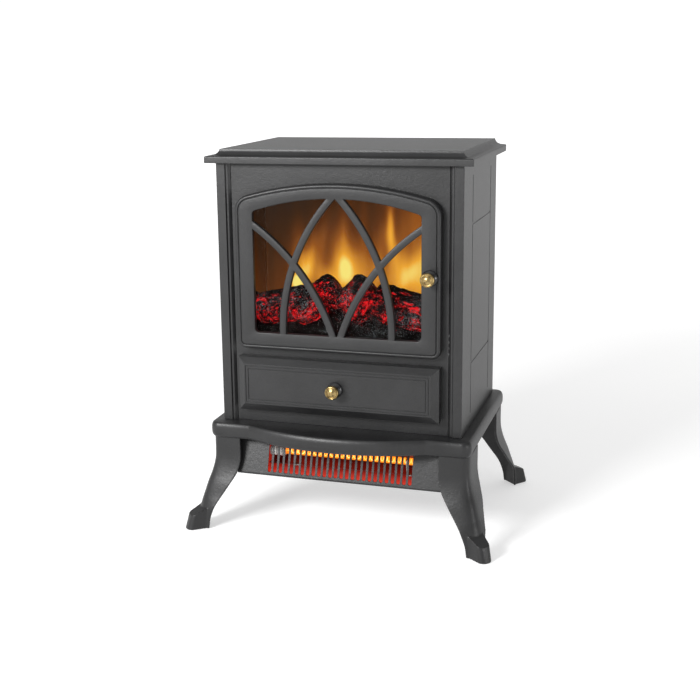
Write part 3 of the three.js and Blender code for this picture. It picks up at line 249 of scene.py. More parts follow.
def charred(name, glow_strength, glow_from, ash_glow_level):
    """Cast resin painted as charred wood: black crust and ash squiggles, red light painted on as a glow in
    patches on faces that look down, and a painted grey glow on the ash.
    """
    made = Finish(name, (0.006, 0.005, 0.005), 0.7, spec=0.02)
    patches = made.noise(44.0, detail=4.0, rough=0.6, distortion=0.8)
    crust = made.noise(210.0, detail=4.0, rough=0.6, distortion=1.6)
    curl = made.noise(120.0, detail=2.0, rough=0.4, distortion=3.0)
    band = made.math("ABSOLUTE", made.math("SUBTRACT", curl, 0.5))
    line = made.ramp(band, (0.0, 1.0), (0.010, 1.0), (0.024, 0.0))
    dusty = made.ramp(made.noise(24.0, detail=2.0), (0.50, 0.0), (0.60, 1.0))
    ash = made.math("MULTIPLY", line, dusty)
    made.feed("Base Color", made.blend(ash, (0.004, 0.003, 0.003, 1.0), (0.12, 0.14, 0.15, 1.0)))
    mixed = made.math("ADD", made.math("MULTIPLY", patches, 0.5), made.math("MULTIPLY", crust, 0.5))
    # painted light: red glow in noise patches, kept to faces that look down and off the ash lines
    glow_patches = made.ramp(mixed, (glow_from, 0.0), (glow_from + 0.05, 0.4), (glow_from + 0.10, 1.0))
    normal = made.node("ShaderNodeTexCoord").outputs["Normal"]
    facing = made.node("ShaderNodeSeparateXYZ", Vector=normal)
    under = made.ramp(facing.outputs["Z"], (0.35, 1.0), (0.75, 0.0))
    lit = made.math("MULTIPLY", made.math("MULTIPLY", glow_patches, under), made.math("SUBTRACT", 1.0, ash))
    red = made.ramp(
        lit, (0.0, 0.0), (0.25, (0.05, 0.001, 0.001)), (0.6, (0.34, 0.002, 0.004)),
        (1.0, (0.78, 0.007, 0.011)),
    )
    # painted light: the ash lines glow grey, scaled by the ash glow level
    grey = (0.055 * ash_glow_level, 0.062 * ash_glow_level, 0.068 * ash_glow_level, 1.0)
    made.feed("Emission Color", made.blend(ash, red, grey))
    made.set("Emission Strength", glow_strength)
    made.bump(made.math("ADD", crust, made.math("MULTIPLY", ash, -0.4)), 1.0, 0.003)
    return made.mat


COIL_MIDDLE = 0.014  # the coil's middle in X
HOUSING_MIDDLE, HOUSING_HALF = 0.01025, 0.1137  # the heater housing in X, to inside its end walls
HOUSING_FLOOR = 0.0758  # just under the top of the housing's floor
SCREEN_FRONT = -0.049  # in Y, where the liner starts to turn dull, just before the flame screen


def glowing_quartz():
    """Clear quartz lit from inside: see-through, with the coil's orange light scattered along it."""
    made = Finish("hot_quartz")
    x, _, _ = made.split()
    lit = made.ramp(made.math("ABSOLUTE", made.math("SUBTRACT", x, COIL_MIDDLE)), (0.088, 1.0), (0.096, 0.06))
    color = made.ramp(lit, (0.0, (0.25, 0.03, 0.01)), (1.0, (1.0, 0.27, 0.015)))
    glow = made.node("ShaderNodeEmission", Color=color, Strength=made.math("MULTIPLY", lit, 0.45))
    through = made.node("ShaderNodeBsdfTransparent", Color=(1.0, 0.9, 0.8, 1.0))
    both = made.tree.nodes.new("ShaderNodeAddShader")
    made.give(both.inputs[0], through.outputs[0])
    made.give(both.inputs[1], glow.outputs[0])
    made.show(both.outputs[0])
    return made.mat


def lit_housing():
    """Dark sheet whose floor has the tube's red light painted on as a glow near the grille, but not on its
    outside.
    """
    made = Finish("housing_sheet", (0.05, 0.05, 0.05), 0.55, metal=0.6)
    x, y, z = made.split()
    # painted light: the red glow grows towards the grille, starts just under the floor's top and stops at the
    # end walls
    near = made.ramp(made.math("MULTIPLY", y, -1.0), (0.070, 0.12), (0.113, 1.0))
    above = made.ramp(made.math("MULTIPLY_ADD", z, 1000.0, -HOUSING_FLOOR / MM), (0.0, 0.0), (0.4, 1.0))
    across = made.math("ABSOLUTE", made.math("SUBTRACT", x, HOUSING_MIDDLE))
    inside = made.ramp(
        made.math("MULTIPLY_ADD", across, 1000.0, -HOUSING_HALF / MM), (0.0, 1.0), (0.3, 0.0),
    )
    lit = made.math("MULTIPLY", made.math("MULTIPLY", near, above), inside)
    made.feed("Emission Color", made.ramp(lit, (0.0, 0.0), (1.0, (0.62, 0.026, 0.012))))
    made.set("Emission Strength", 1.0)
    made.bump(made.noise(300.0), 0.2, 0.0001)
    return made.mat


def liner_sheet():
    """Bright sheet round the logs, dull grey behind the flame screen."""
    made = Finish("liner_sheet", (0.7, 0.65, 0.6), 0.12, metal=1.0)
    _, y, _ = made.split()
    behind = made.math("MULTIPLY", made.math("SUBTRACT", y, SCREEN_FRONT), 100.0)
    made.feed("Base Color", made.ramp(behind, (0.0, (0.72, 0.66, 0.6)), (0.5, (0.05, 0.05, 0.05))))
    made.feed("Roughness", made.ramp(behind, (0.0, 0.1), (0.5, 0.6)))
    made.bump(made.noise(40.0, detail=2.0), 0.1, 0.0002)
    return made.mat


def heat_reflector(name, shine, glow):
    """Sheet with the tube's light painted on as a glow: brightest level with it, deep red below, and painted
    shade beyond the coil's ends.
    """
    made = Finish(name, shine, 0.35, metal=1.0)
    x, _, z = made.split()
    wave = made.noise(1.0, detail=3.0, vector=made.stretched((140.0, 30.0, 30.0)))
    height = made.math("ADD", z, made.math("MULTIPLY_ADD", wave, 0.010, -0.005))
    level = made.math("MULTIPLY_ADD", height, 1 / 0.050, -0.074 / 0.050)
    # painted reflection: wavy bands of the tube's red light across the sheet, brightest level with the tube
    band = made.ramp(
        level, (0.0, (0.46, 0.020, 0.009)), (0.16, (0.19, 0.008, 0.004)), (0.32, (0.045, 0.002, 0.0015)),
        (0.46, (0.05, 0.003, 0.002)), (0.58, (0.6, 0.055, 0.01)), (0.72, (0.5, 0.033, 0.007)),
        (1.0, (0.17, 0.007, 0.003)),
    )
    # painted shade: the glow drops to about a quarter beyond the coil's ends
    off_middle = made.math("ABSOLUTE", made.math("SUBTRACT", x, COIL_MIDDLE))
    within = made.math("SUBTRACT", 1.0, made.math("MULTIPLY", off_middle, 1 / 0.098))
    fade = made.ramp(within, (0.0, 0.28), (0.12, 1.0))
    made.feed("Emission Color", made.blend(1.0, band, fade, "MULTIPLY"))
    made.set("Emission Strength", glow)
    return made.mat


PAINT = painted("satin_black", 0.010, 0.42)
PAINT_INSIDE = painted("matt_black_inside", 0.012, 0.6)
PLASTIC = moulded("black_plastic", (0.018, 0.018, 0.019), 0.42)
KNOB_BLACK = moulded("knob_black", (0.012, 0.012, 0.013), 0.22)
STEEL = sheet_steel("plated_steel", (0.5, 0.51, 0.52), 0.36)
POLISHED = sheet_steel("polished_steel", (0.78, 0.78, 0.79), 0.16)
BRASS = antique_brass()
GLASS = clear_sheet("door_glass", (0.97, 0.97, 0.96), 0.16)
QUARTZ = glowing_quartz()
CERAMIC = moulded("ceramic", (0.42, 0.4, 0.38), 0.6)
RUBBER = moulded("rubber", (0.02, 0.02, 0.02), 0.8)
FLAME = flame_glow("flame_screen_print")
LOGS = charred("charred_logs", 1.0, 0.475, 1.0)
EMBERS = charred("ember_bed_crust", 0.4, 0.53, 0.3)
BOARD = moulded("solder_mask", (0.02, 0.12, 0.06), 0.4)
HOT_WIRE = glowing("hot_wire", (1.0, 0.78, 0.32), 1.6)
REFLECTOR_PAINTED_GLOW = heat_reflector("reflector_painted_glow", (0.03, 0.022, 0.02), 0.75)
LINER = liner_sheet()
HOUSING = lit_housing()
LENS = moulded("lens_red", (0.45, 0.04, 0.02), 0.15)

# ---------------------------------------------------------------- mesh helpers

SMOOTH_LIMIT = math.radians(38)
BEVEL_LIMIT = math.radians(30)


def smooth_group():
    """A node group that shades smooth across every edge flatter than the limit."""
    tree = bpy.data.node_groups.new("smooth_by_angle", "GeometryNodeTree")
    tree.interface.new_socket("Geometry", in_out="INPUT", socket_type="NodeSocketGeometry")
    tree.interface.new_socket("Geometry", in_out="OUTPUT", socket_type="NodeSocketGeometry")
    start = tree.nodes.new("NodeGroupInput")
    end = tree.nodes.new("NodeGroupOutput")
    faces = tree.nodes.new("GeometryNodeSetShadeSmooth")
    edges = tree.nodes.new("GeometryNodeSetShadeSmooth")
    faces.domain = "FACE"
    edges.domain = "EDGE"
    angle = tree.nodes.new("GeometryNodeInputMeshEdgeAngle")
    flat = tree.nodes.new("FunctionNodeCompare")
    flat.operation = "LESS_THAN"
    flat.inputs[1].default_value = SMOOTH_LIMIT
    links = tree.links
    links.new(angle.outputs["Unsigned Angle"], flat.inputs[0])
    links.new(start.outputs[0], faces.inputs["Geometry"])
    links.new(faces.outputs[0], edges.inputs["Geometry"])
    links.new(flat.outputs[0], edges.inputs["Shade Smooth"])
    links.new(edges.outputs[0], end.inputs[0])
    return tree


SMOOTH = smooth_group()


def soften(obj, bevel=0.0, segments=2):
    """Rounds the sharp edges by a bevel in millimetres, then shades by angle."""
    if bevel:
        rounding = obj.modifiers.new("rounding", "BEVEL")
        rounding.width = bevel * MM
        rounding.segments = segments
        rounding.limit_method = "ANGLE"
        rounding.angle_limit = BEVEL_LIMIT
    shade = obj.modifiers.new("shading", "NODES")
    shade.node_group = SMOOTH
    if bevel:
        weigh = obj.modifiers.new("weighting", "WEIGHTED_NORMAL")
        weigh.keep_sharp = True


def keep(node, finish, bevel=0.3):
    """Keeps a CAD node as it is, with its edges rounded and a finish."""
    obj = nodes[node]
    if "custom_normal" in obj.data.attributes:
        obj.data.attributes.remove(obj.data.attributes["custom_normal"])
    obj.data.materials.clear()
    obj.data.materials.append(finish)
    weld = obj.modifiers.new("weld", "WELD")
    weld.merge_threshold = 0.01 * MM
    planar = obj.modifiers.new("planar", "DECIMATE")
    planar.decimate_type = "DISSOLVE"
    planar.angle_limit = math.radians(1.0)
    soften(obj, bevel)


def mesh_object(name, bm):
    bmesh.ops.recalc_face_normals(bm, faces=bm.faces)
    mesh = bpy.data.meshes.new(name)
    bm.to_mesh(mesh)
    bm.free()
    obj = bpy.data.objects.new(name, mesh)
    scene.collection.objects.link(obj)
    return obj


def piece(obj, finishes, body, replaced, bevel=0.0, segments=2):
    """Gives a new object its finishes, softens it and lets it stand for CAD nodes."""
    for finish in finishes:
        obj.data.materials.append(finish)
    soften(obj, bevel, segments)
    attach(obj, body)
    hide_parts(*replaced)
    return obj


def loft(loops, closed=False):
    """Skins loops of equally many points, in millimetres: closed on itself, or capped at both ends."""
    bm = bmesh.new()
    rings = [[bm.verts.new(Vector(p) * MM) for p in loop] for loop in loops]
    pairs = list(zip(rings, rings[1:]))
    if closed:
        pairs.append((rings[-1], rings[0]))
    for ring, following in pairs:
        count = len(ring)
        for i in range(count):
            j = (i + 1) % count
            bm.faces.new((ring[i], ring[j], following[j], following[i]))
    if not closed:
        bm.faces.new(rings[0])
        bm.faces.new(rings[-1])
    return bm


def block(x0, x1, y0, y1, z0, z1):
    """A plain box to cut or join with."""
    corners = [(x0, y0), (x1, y0), (x1, y1), (x0, y1)]
    return mesh_object("tool", loft([[(x, y, z) for x, y in corners] for z in (z0, z1)]))


def turns(count):
    """Angles spaced evenly round a circle."""
    return [2 * math.pi * i / count for i in range(count)]


def rod(x, y, radius, z0, z1, sides=32):
    """A plain upright rod to cut with."""
    ring = [(x + radius * math.cos(a), y + radius * math.sin(a)) for a in turns(sides)]
    return mesh_object("tool", loft([[(px, py, z) for px, py in ring] for z in (z0, z1)]))


def apply_all(obj):
    """Turns an object's modifiers into mesh."""
    graph = bpy.context.evaluated_depsgraph_get()
    made = bpy.data.meshes.new_from_object(obj.evaluated_get(graph))
    obj.modifiers.clear()
    obj.data = made


def combine(obj, tool, operation):
    """Joins a tool to an object, or cuts it away, and removes the tool."""
    change = obj.modifiers.new("combine", "BOOLEAN")
    change.operation = operation
    change.object = tool
    change.solver = "EXACT"
    apply_all(obj)
    bpy.data.objects.remove(tool)


def arc(x, z, radius, start, end, steps):
    """Points along an arc round (x, z), both ends included."""
    return [
        (x + radius * math.cos(start + (end - start) * i / steps),
         z + radius * math.sin(start + (end - start) * i / steps))
        for i in range(steps + 1)
    ]


def arched(half, bottom, apex, radius, foot, shoulder):
    """A rectangle under a low arch, in X and Z, as a loop of points that match between sizes."""
    quarter = math.pi / 2
    centre = apex - radius
    round_x = half - shoulder
    round_z = centre + math.sqrt((radius - shoulder) ** 2 - round_x**2)
    lean = math.atan2(round_z - centre, round_x)
    return [
        *arc(half - foot, bottom + foot, foot, -quarter, 0, 8),
        *arc(round_x, round_z, shoulder, 0, lean, 8),
        *arc(0, centre, radius, lean, math.pi - lean, 40)[1:-1],
        *arc(-round_x, round_z, shoulder, math.pi - lean, math.pi, 8),
        *arc(-half + foot, bottom + foot, foot, math.pi, 3 * quarter, 8),
    ]


# ---------------------------------------------------------------- top slab

SLAB_HALF, SLAB_FRONT, SLAB_BACK = 170.0, -119.0, 113.0
SLAB_UNDER, SLAB_STEP, SLAB_TOP = 477.7, 486.5, 494.4


def slab_loop(inset, z):
    """The slab's outline, drawn in at the front and sides but not at the back."""
    half, front = SLAB_HALF - inset, SLAB_FRONT + inset
    return [(-half, front, z), (half, front, z), (half, SLAB_BACK, z), (-half, SLAB_BACK, z)]


def top_slab():
    """A slab with a square lip and a cove above it, hollow below. The edge lists inset and height."""
    edge = [(0.0, SLAB_UNDER), (0.0, SLAB_STEP - 1.6), (0.5, SLAB_STEP - 0.5), (1.7, SLAB_STEP)]
    for i in range(9):
        turn = math.pi / 2 * i / 8
        edge.append((5.7 + 9.3 * math.sin(turn), SLAB_TOP - 7.4 * math.cos(turn)))
    hollow = [
        [(x, y, z) for x, y in ((-149.5, -97), (149.5, -97), (149.5, 101), (-149.5, 101))]
        for z in (SLAB_UNDER + 9, SLAB_UNDER)
    ]
    bm = loft(hollow + [slab_loop(inset, z) for inset, z in edge])
    return mesh_object("top_slab_moulded", bm)


piece(top_slab(), [PAINT], "cabinet", ["top_slab"], bevel=0.4)

# ---------------------------------------------------------------- base ledge

LEDGE_HALF, LEDGE_FRONT, LEDGE_BACK, LEDGE_BOW, BOW_HALF = 172.0, -129.0, 123.0, -155.5, 118.0


def ledge_loop(inset, z):
    """The ledge's outline: rounded corners, and a bow across the middle of its front."""
    half, front, back = LEDGE_HALF - inset, LEDGE_FRONT + inset, LEDGE_BACK - inset
    corner = 12 - inset
    rise = LEDGE_FRONT - LEDGE_BOW
    radius = (BOW_HALF**2 + rise**2) / (2 * rise)
    sweep = math.asin(BOW_HALF / radius)
    quarter = math.pi / 2
    plan = [
        *arc(0, LEDGE_BOW + radius, radius - inset, -quarter - sweep, -quarter + sweep, 64),
        *arc(half - corner, front + corner, corner, -quarter, 0, 12),
        *arc(half - corner, back - corner, corner, 0, quarter, 12),
        *arc(-half + corner, back - corner, corner, quarter, 2 * quarter, 12),
        *arc(-half + corner, front + corner, corner, 2 * quarter, 3 * quarter, 12),
    ]
    return [(x, y, z) for x, y in plan]


def base_ledge():
    """A slab with a rounded edge, hollow below, and open in the middle for the wiring."""
    edge = []
    for i in range(9):
        turn = math.pi / 2 * i / 8
        edge.append((4 * (1 - math.sin(turn)), 131 - 8 * math.cos(turn)))
    for i in range(9):
        turn = math.pi / 2 * i / 8
        edge.append((4 * (1 - math.cos(turn)), 135 + 8 * math.sin(turn)))
    obj = mesh_object("base_ledge_moulded", loft([ledge_loop(inset, z) for inset, z in edge]))
    combine(obj, block(-127, 127, -119, 108, 100, 140.5), "DIFFERENCE")
    combine(obj, block(-60, 60, 0, 70, 130, 150), "DIFFERENCE")
    return obj


piece(base_ledge(), [PAINT], "cabinet", ["base_ledge"])

# ---------------------------------------------------------------- legs

# Down a leg: height, splay of the corner, for each arm its end along and across, and the fold's softness.
LEG_STATIONS = [
    (123.5, 1, (-35.5, 1), (-51, 1), 0.15), (98, 1, (-35.5, 1), (-50, 1), 0.15),
    (86, 2.5, (-34, 2.5), (-48, 2.5), 0.16), (74, 6, (-30, 6), (-43, 6), 0.2),
    (60, 11, (-21.5, 11.5), (-32, 11.5), 0.26), (47, 15, (-13, 15.5), (-20, 15.5), 0.34),
    (36, 17.6, (-6, 19.5), (-9, 19.5), 0.42), (27, 18.6, (-1.5, 22), (-1.5, 22), 0.5),
    (14, 20.5, (3, 22), (3, 22), 0.5), (0.8, 22, (5, 22), (5, 22), 0.5),
]
LEG_CORNER = (167.0, 120.0)
LEG_WALL = 3.0
LEG_ACROSS = 16
LEG_FINE = 5


def between(a, b, c, d, t):
    """A smooth curve through four even steps, read at a share t of the way from b to c."""
    return 0.5 * (2 * b + (c - a) * t + (2 * a - 5 * b + 4 * c - d) * t**2 + (3 * b - a - 3 * c + d) * t**3)


def leg_rows():
    """The stations as flat rows of numbers, with smooth rows added between them."""
    rows = [[z, corner, *front, *side, fold] for z, corner, front, side, fold in LEG_STATIONS]
    fine = []
    for before, here, after, beyond in zip([rows[0], *rows], rows, rows[1:], [*rows[2:], rows[-1]]):
        for step in range(LEG_FINE):
            t = step / LEG_FINE
            fine.append([between(*four, t) for four in zip(before, here, after, beyond)])
    return fine + [rows[-1]]


def leg_point(row, across):
    """A point on a leg's outside: the fold is at 0, the front arm ends at -1 and the side arm at 1."""
    _, corner, front_x, front_y, side_y, side_x, fold = row
    reach = [(s * across + math.sqrt(across**2 + fold**2)) / 2 for s in (-1, 1)]
    x = corner + (front_x - corner) * reach[0] + (side_x - corner) * reach[1]
    y = corner + (front_y - corner) * reach[0] + (side_y - corner) * reach[1]
    return Vector((x, y))


def leg_wall():
    """The leg's folded wall, closest points at the fold, the same thickness all over."""
    loops = []
    steps = [math.copysign(abs(i / LEG_ACROSS) ** 1.4, i) for i in range(-LEG_ACROSS, LEG_ACROSS + 1)]
    for row in leg_rows():
        outer = [leg_point(row, a) for a in steps]
        inner = []
        for a, point in zip(steps, outer):
            along = (leg_point(row, a + 0.01) - leg_point(row, a - 0.01)).normalized()
            inner.append(point + Vector((-along.y, along.x)) * LEG_WALL)
        loops.append([(p.x, p.y, row[0]) for p in outer + inner[::-1]])
    return loft(loops)


def toe():
    """A boot-shaped block pointing out along the diagonal, its top sloping down to the tip."""
    quarter = math.pi / 2
    plan = [
        (19.5, -11.5),
        *arc(38.5, -1.8, 7.5, -quarter, 0, 8),
        *arc(38.5, 1.8, 7.5, 0, quarter, 8),
        (19.5, 11.5),
    ]
    low, high = [], []
    for out, across in plan:
        near = 19.5 + (out - 19.5) * (40 - 19.5) / (46 - 19.5)
        spots = ((low, out, 0.8), (high, near, 20 + (40 - near) * 0.42))
        for loop, distance, z in spots:
            loop.append(((distance - across) * math.sqrt(0.5), (distance + across) * math.sqrt(0.5), z))
    return loft([low, high])


def leg_master():
    """One leg and its toe, melted together and relaxed as a casting."""
    obj = mesh_object("leg", leg_wall())
    combine(obj, mesh_object("tool", toe()), "UNION")
    remesh = obj.modifiers.new("cast", "REMESH")
    remesh.mode = "VOXEL"
    remesh.voxel_size = 0.9 * MM
    relax = obj.modifiers.new("relax", "SMOOTH")
    relax.factor = 0.5
    relax.iterations = 3
    apply_all(obj)
    return obj


def legs():
    """Four legs, each a mirror image of its neighbours."""
    master = leg_master()
    for place, side_x, side_y in (
        ("front_left", -1, -1), ("front_right", 1, -1), ("rear_left", -1, 1), ("rear_right", 1, 1),
    ):
        mesh = master.data.copy()
        spread = Matrix.Diagonal((side_x, side_y, 1, 1))
        spread.translation = (side_x * LEG_CORNER[0] * MM, side_y * LEG_CORNER[1] * MM, 0)
        mesh.transform(spread)
        if side_x * side_y < 0:
            mesh.flip_normals()
        obj = bpy.data.objects.new(f"leg_{place}_cast", mesh)
        scene.collection.objects.link(obj)
        piece(obj, [PAINT], "cabinet", [f"leg_{place}"])
    bpy.data.objects.remove(master)


legs()

# ---------------------------------------------------------------- door

DOOR_BACK, DOOR_FACE = -106.3, -118.8
PANE_FACE = -112.7
PIVOT_X, PIVOT_Y = -125.5, -112.65
HINGE_HEIGHTS = (262.0, 414.0)
HINGE_SLOT_HALF = 1.6
HINGE_EDGE_RADIUS = 6.3
# The bars on the right: centre x and z, radius, and the angles where each starts and ends.
LATTICE_BARS = ((-179.2, 268.3, 249.7, -1.6, 43.7), (263.4, 178.3, 272.2, 124.0, 162.2))


def door_outline(inset):
    """The door's outer edge, drawn in by a distance."""
    return arched(
        131.8 - inset, 243 + inset, 454.7 - inset, 430 - inset, max(11 - inset, 2), max(21 - inset, 3),
    )


def door_ring():
    """The frame as one closed ring: its edge and groove, its window, and the pocket for the pane."""
    bead = []
    for i in range(9):
        turn = math.pi / 2 * i / 8
        bead.append((3.4 * (1 - math.cos(turn)), -114.7 - 4.3 * math.sin(turn)))
    edge = [
        (0.0, DOOR_BACK), *bead, (4.2, -118.75), (4.7, -118.1), (4.9, -117.4), (5.4, -117.4),
        (5.6, -118.2), (6.0, -118.7), (6.6, DOOR_FACE),
    ]
    loops = [[(x, y, z) for x, z in door_outline(inset)] for inset, y in edge]
    for grow, y in ((1.2, DOOR_FACE), (0.5, -118.6), (0.1, -118.1), (0.0, -117.3), (0.0, PANE_FACE)):
        window = arched(107.8 + grow, 264.6 - grow, 436.2 + grow, 340.8 + grow, 6 + grow, 5 + grow)
        loops.append([(x, y, z) for x, z in window])
    pocket = arched(113.8, 258.7, 442.1, 346.4, 4, 5)
    loops += [[(x, y, z) for x, z in pocket] for y in (PANE_FACE, DOOR_BACK)]
    return mesh_object("door_frame_cast", loft(loops, closed=True))


def lattice_bar(x, z, radius, start, end, side):
    """One bar swept along its arc: flat at the back, with softly rounded front edges."""
    half = 4.2
    profile = [(-half, PANE_FACE), (-half, -118.0), (-half + 0.3, -118.5), (-half + 0.9, -118.75),
               (half - 0.9, -118.75), (half - 0.3, -118.5), (half, -118.0), (half, PANE_FACE)]
    loops = []
    steps = 56
    for i in range(steps + 1):
        turn = math.radians(start + (end - start) * i / steps)
        loops.append([
            (side * (x + (radius + across) * math.cos(turn)), y, z + (radius + across) * math.sin(turn))
            for across, y in profile
        ])
    return mesh_object("tool", loft(loops))


def door_frame():
    """The ring with its lattice, its back corner rounded round the pivot, and slots for the hinge arms."""
    obj = door_ring()
    for side in (1, -1):
        for bar in LATTICE_BARS:
            combine(obj, lattice_bar(*bar, side), "UNION")
    corner = block(-140, PIVOT_X, PIVOT_Y, -100, 235, 460)
    combine(corner, rod(PIVOT_X, PIVOT_Y, HINGE_EDGE_RADIUS, 230, 470, 48), "DIFFERENCE")
    combine(obj, corner, "DIFFERENCE")
    for height in HINGE_HEIGHTS:
        low, high = height - HINGE_SLOT_HALF, height + HINGE_SLOT_HALF
        combine(obj, rod(PIVOT_X, PIVOT_Y, 3.5, low, high), "DIFFERENCE")
        combine(obj, block(PIVOT_X - 0.5, PIVOT_X + 17, PIVOT_Y - 3.4, -100, low, high), "DIFFERENCE")
        combine(obj, block(-140, PIVOT_X, PIVOT_Y + 1.4, -100, low, high), "DIFFERENCE")
    return obj


piece(door_frame(), [PAINT], "door", ["door_frame"])

# ---------------------------------------------------------------- knobs

# A knob's outline from its foot to its face: radius, and distance out from the seat.
KNOB_PROFILE = [
    (0, 0), (9.2, 0), (10.0, 0.5), (10.2, 1.3), (9.9, 2.4), (8.6, 4.0), (6.6, 5.2), (5.2, 6.4), (4.6, 7.8),
    (4.8, 9.0), (6.2, 9.9), (7.8, 10.6), (8.6, 11.4), (8.9, 12.4), (8.9, 14.2), (8.7, 15.3), (8.1, 16.2),
    (7.4, 16.5), (6.8, 16.2), (6.4, 15.6), (6.0, 15.5), (5.2, 16.0), (4.0, 16.8), (2.4, 17.6), (0, 18),
]
BRASS_FROM = 10.3
KNOB_GAP = 0.3
KNOB_SIDES = 56


def knob(name, x, z, seat):
    """A turned knob: a black foot and neck, and a brass face with a raised rim round a low dome."""
    bm = bmesh.new()
    rings = []
    for radius, along in KNOB_PROFILE:
        y = (seat - KNOB_GAP - along) * MM
        if radius == 0:
            rings.append([bm.verts.new((x * MM, y, z * MM))])
            continue
        rings.append([
            bm.verts.new(((x + radius * math.cos(a)) * MM, y, (z + radius * math.sin(a)) * MM))
            for a in turns(KNOB_SIDES)
        ])
    for (ring, following), (_, along) in zip(zip(rings, rings[1:]), KNOB_PROFILE):
        count = max(len(ring), len(following))
        for i in range(count):
            j = (i + 1) % count
            corners = [ring[0]] if len(ring) == 1 else [ring[i], ring[j]]
            corners += [following[0]] if len(following) == 1 else [following[j], following[i]]
            face = bm.faces.new(corners)
            face.material_index = 1 if along >= BRASS_FROM else 0
    return mesh_object(name, bm)


piece(knob("door_knob_turned", 118.5, 344, -119), [KNOB_BLACK, BRASS], "door", ["door_knob"])
piece(knob("flap_knob_turned", 0, 198.5, -126.5), [KNOB_BLACK, BRASS], "flap", ["flap_knob"])

# ---------------------------------------------------------------- logs and embers

# Logs from end to end: x, y, z and radius at each end.
LOG_BARS = {
    "log_left": ((-118, -76, 285, 21), (-44, -74, 300, 23)),
    "log_centre_left": ((-66, -84, 282, 18), (-10, -72, 319, 24)),
    "log_centre_right": ((0, -84, 288, 23), (37, -75, 321, 27)),
    "log_right": ((38, -78, 304, 25), (118, -77, 287, 22)),
}
LOG_LOW, LOG_FRONT, LOG_BACK, LOG_SIDE = 262.3, -100.4, -48.0, 117.0


def rough_log(name, start, end, seed):
    """A broken length of charred wood: ridged bark, worn ends, and hollows from the saw and the fire."""
    tail, tip = Vector(start[:3]), Vector(end[:3])
    axis = (tip - tail).normalized()
    side = axis.cross(Vector((0, 0, 1))).normalized()
    up = side.cross(axis)
    length = (tip - tail).length
    around, along = 96, 84
    loops = []
    for k in range(along + 1):
        t = k / along
        end_round = min(1.0, math.sqrt(max(0.0, 1 - (abs(2 * t - 1)) ** 9)) * 0.9 + 0.1)
        radius = start[3] + (end[3] - start[3]) * t
        middle = tail + axis * (length * (t * 1.06 - 0.03))
        loop = []
        for i in range(around):
            a = 2 * math.pi * i / around
            out = side * math.cos(a) + up * math.sin(a)
            spot = middle + out * radius
            probe = Vector((math.cos(a) * 2.2, math.sin(a) * 2.2, t * length / 30)) + Vector((seed, seed, 0))
            lumps = noise.fractal(probe, 0.9, 2.1, 4)
            ridges = abs(noise.noise(Vector((math.cos(a) * 6, math.sin(a) * 6, t * length / 14 + seed))))
            fine = noise.fractal(spot * 0.16 + Vector((seed, 0, 0)), 0.8, 2.2, 3)
            reach = radius * end_round * (1 + 0.055 * lumps) - 3.2 * ridges + 1.1 * fine + 0.4
            point = middle + out * max(reach, 0.5)
            point.x = min(max(point.x, -LOG_SIDE), LOG_SIDE)
            point.y = min(max(point.y, LOG_FRONT), LOG_BACK)
            point.z = max(point.z, LOG_LOW - 1.5)
            loop.append(point)
        loops.append(loop)
    return mesh_object(f"{name}_charred", loft(loops))


for place, (log_name, (log_start, log_end)) in enumerate(LOG_BARS.items()):
    log = rough_log(log_name, log_start, log_end, 3.7 * place + 1.3)
    piece(log, [LOGS], "cabinet", [log_name])


def ember_bed():
    """Lumpy cinders that rise from the front edge to lie against the logs."""
    across, deep = 190, 60
    left, front, back = -116.8, -100.6, -47.4
    top, floor = [], 250.9
    for j in range(deep + 1):
        for i in range(across + 1):
            x = left + 2 * -left * i / across
            y = front + (back - front) * j / deep
            rise = 9.0 * min(1.0, max(0.0, (y - front - 2) / 14)) ** 0.8
            lumps = noise.fractal(Vector((x / 11, y / 11, 0.4)), 0.8, 2.1, 5)
            cells = noise.cell(Vector((x / 9, y / 9, 2.0)))
            bank = 22.0 * min(1.0, max(0.0, (y - front - 12) / 20)) ** 1.5
            z = 256.0 + rise + bank + (2.6 * lumps + 1.2 * cells) * min(1.0, (j + 1) / 6)
            top.append((x, y, z))
    bm = bmesh.new()
    verts = [bm.verts.new(Vector(p) * MM) for p in top]
    row = across + 1
    for j in range(deep):
        for i in range(across):
            a = j * row + i
            bm.faces.new((verts[a], verts[a + 1], verts[a + row + 1], verts[a + row]))
    rim = [e for e in bm.edges if e.is_boundary]
    made = bmesh.ops.extrude_edge_only(bm, edges=rim)["geom"]
    lower = [v for v in made if isinstance(v, bmesh.types.BMVert)]
    for v in lower:
        v.co.z = floor * MM
    bottom = [e for e in bm.edges if e.is_boundary]
    bmesh.ops.contextual_create(bm, geom=bottom)
    return mesh_object("ember_bed_cinders", bm)


piece(ember_bed(), [EMBERS], "cabinet", ["ember_bed"])

# ---------------------------------------------------------------- quartz tube and coil

TUBE_Y, TUBE_Z, TUBE_LEFT, TUBE_RIGHT, TUBE_RADIUS = -97.0, 102.5, -84.0, 112.0, 4.6
TUBE_WALL = 0.8
COIL_TURNS, COIL_RADIUS, WIRE_RADIUS = 40, 2.6, 0.55


def ring_x(x, radius, sides=40):
    """A ring of points round the tube's axis."""
    return [(x, TUBE_Y + radius * math.cos(a), TUBE_Z + radius * math.sin(a)) for a in turns(sides)]


def quartz_tube():
    """A thin-walled tube, open at both ends."""
    inner = TUBE_RADIUS - TUBE_WALL
    ends = [(TUBE_LEFT, inner), (TUBE_LEFT, TUBE_RADIUS), (TUBE_RIGHT, TUBE_RADIUS), (TUBE_RIGHT, inner)]
    return mesh_object("quartz_tube_drawn", loft([ring_x(x, radius) for x, radius in ends], closed=True))


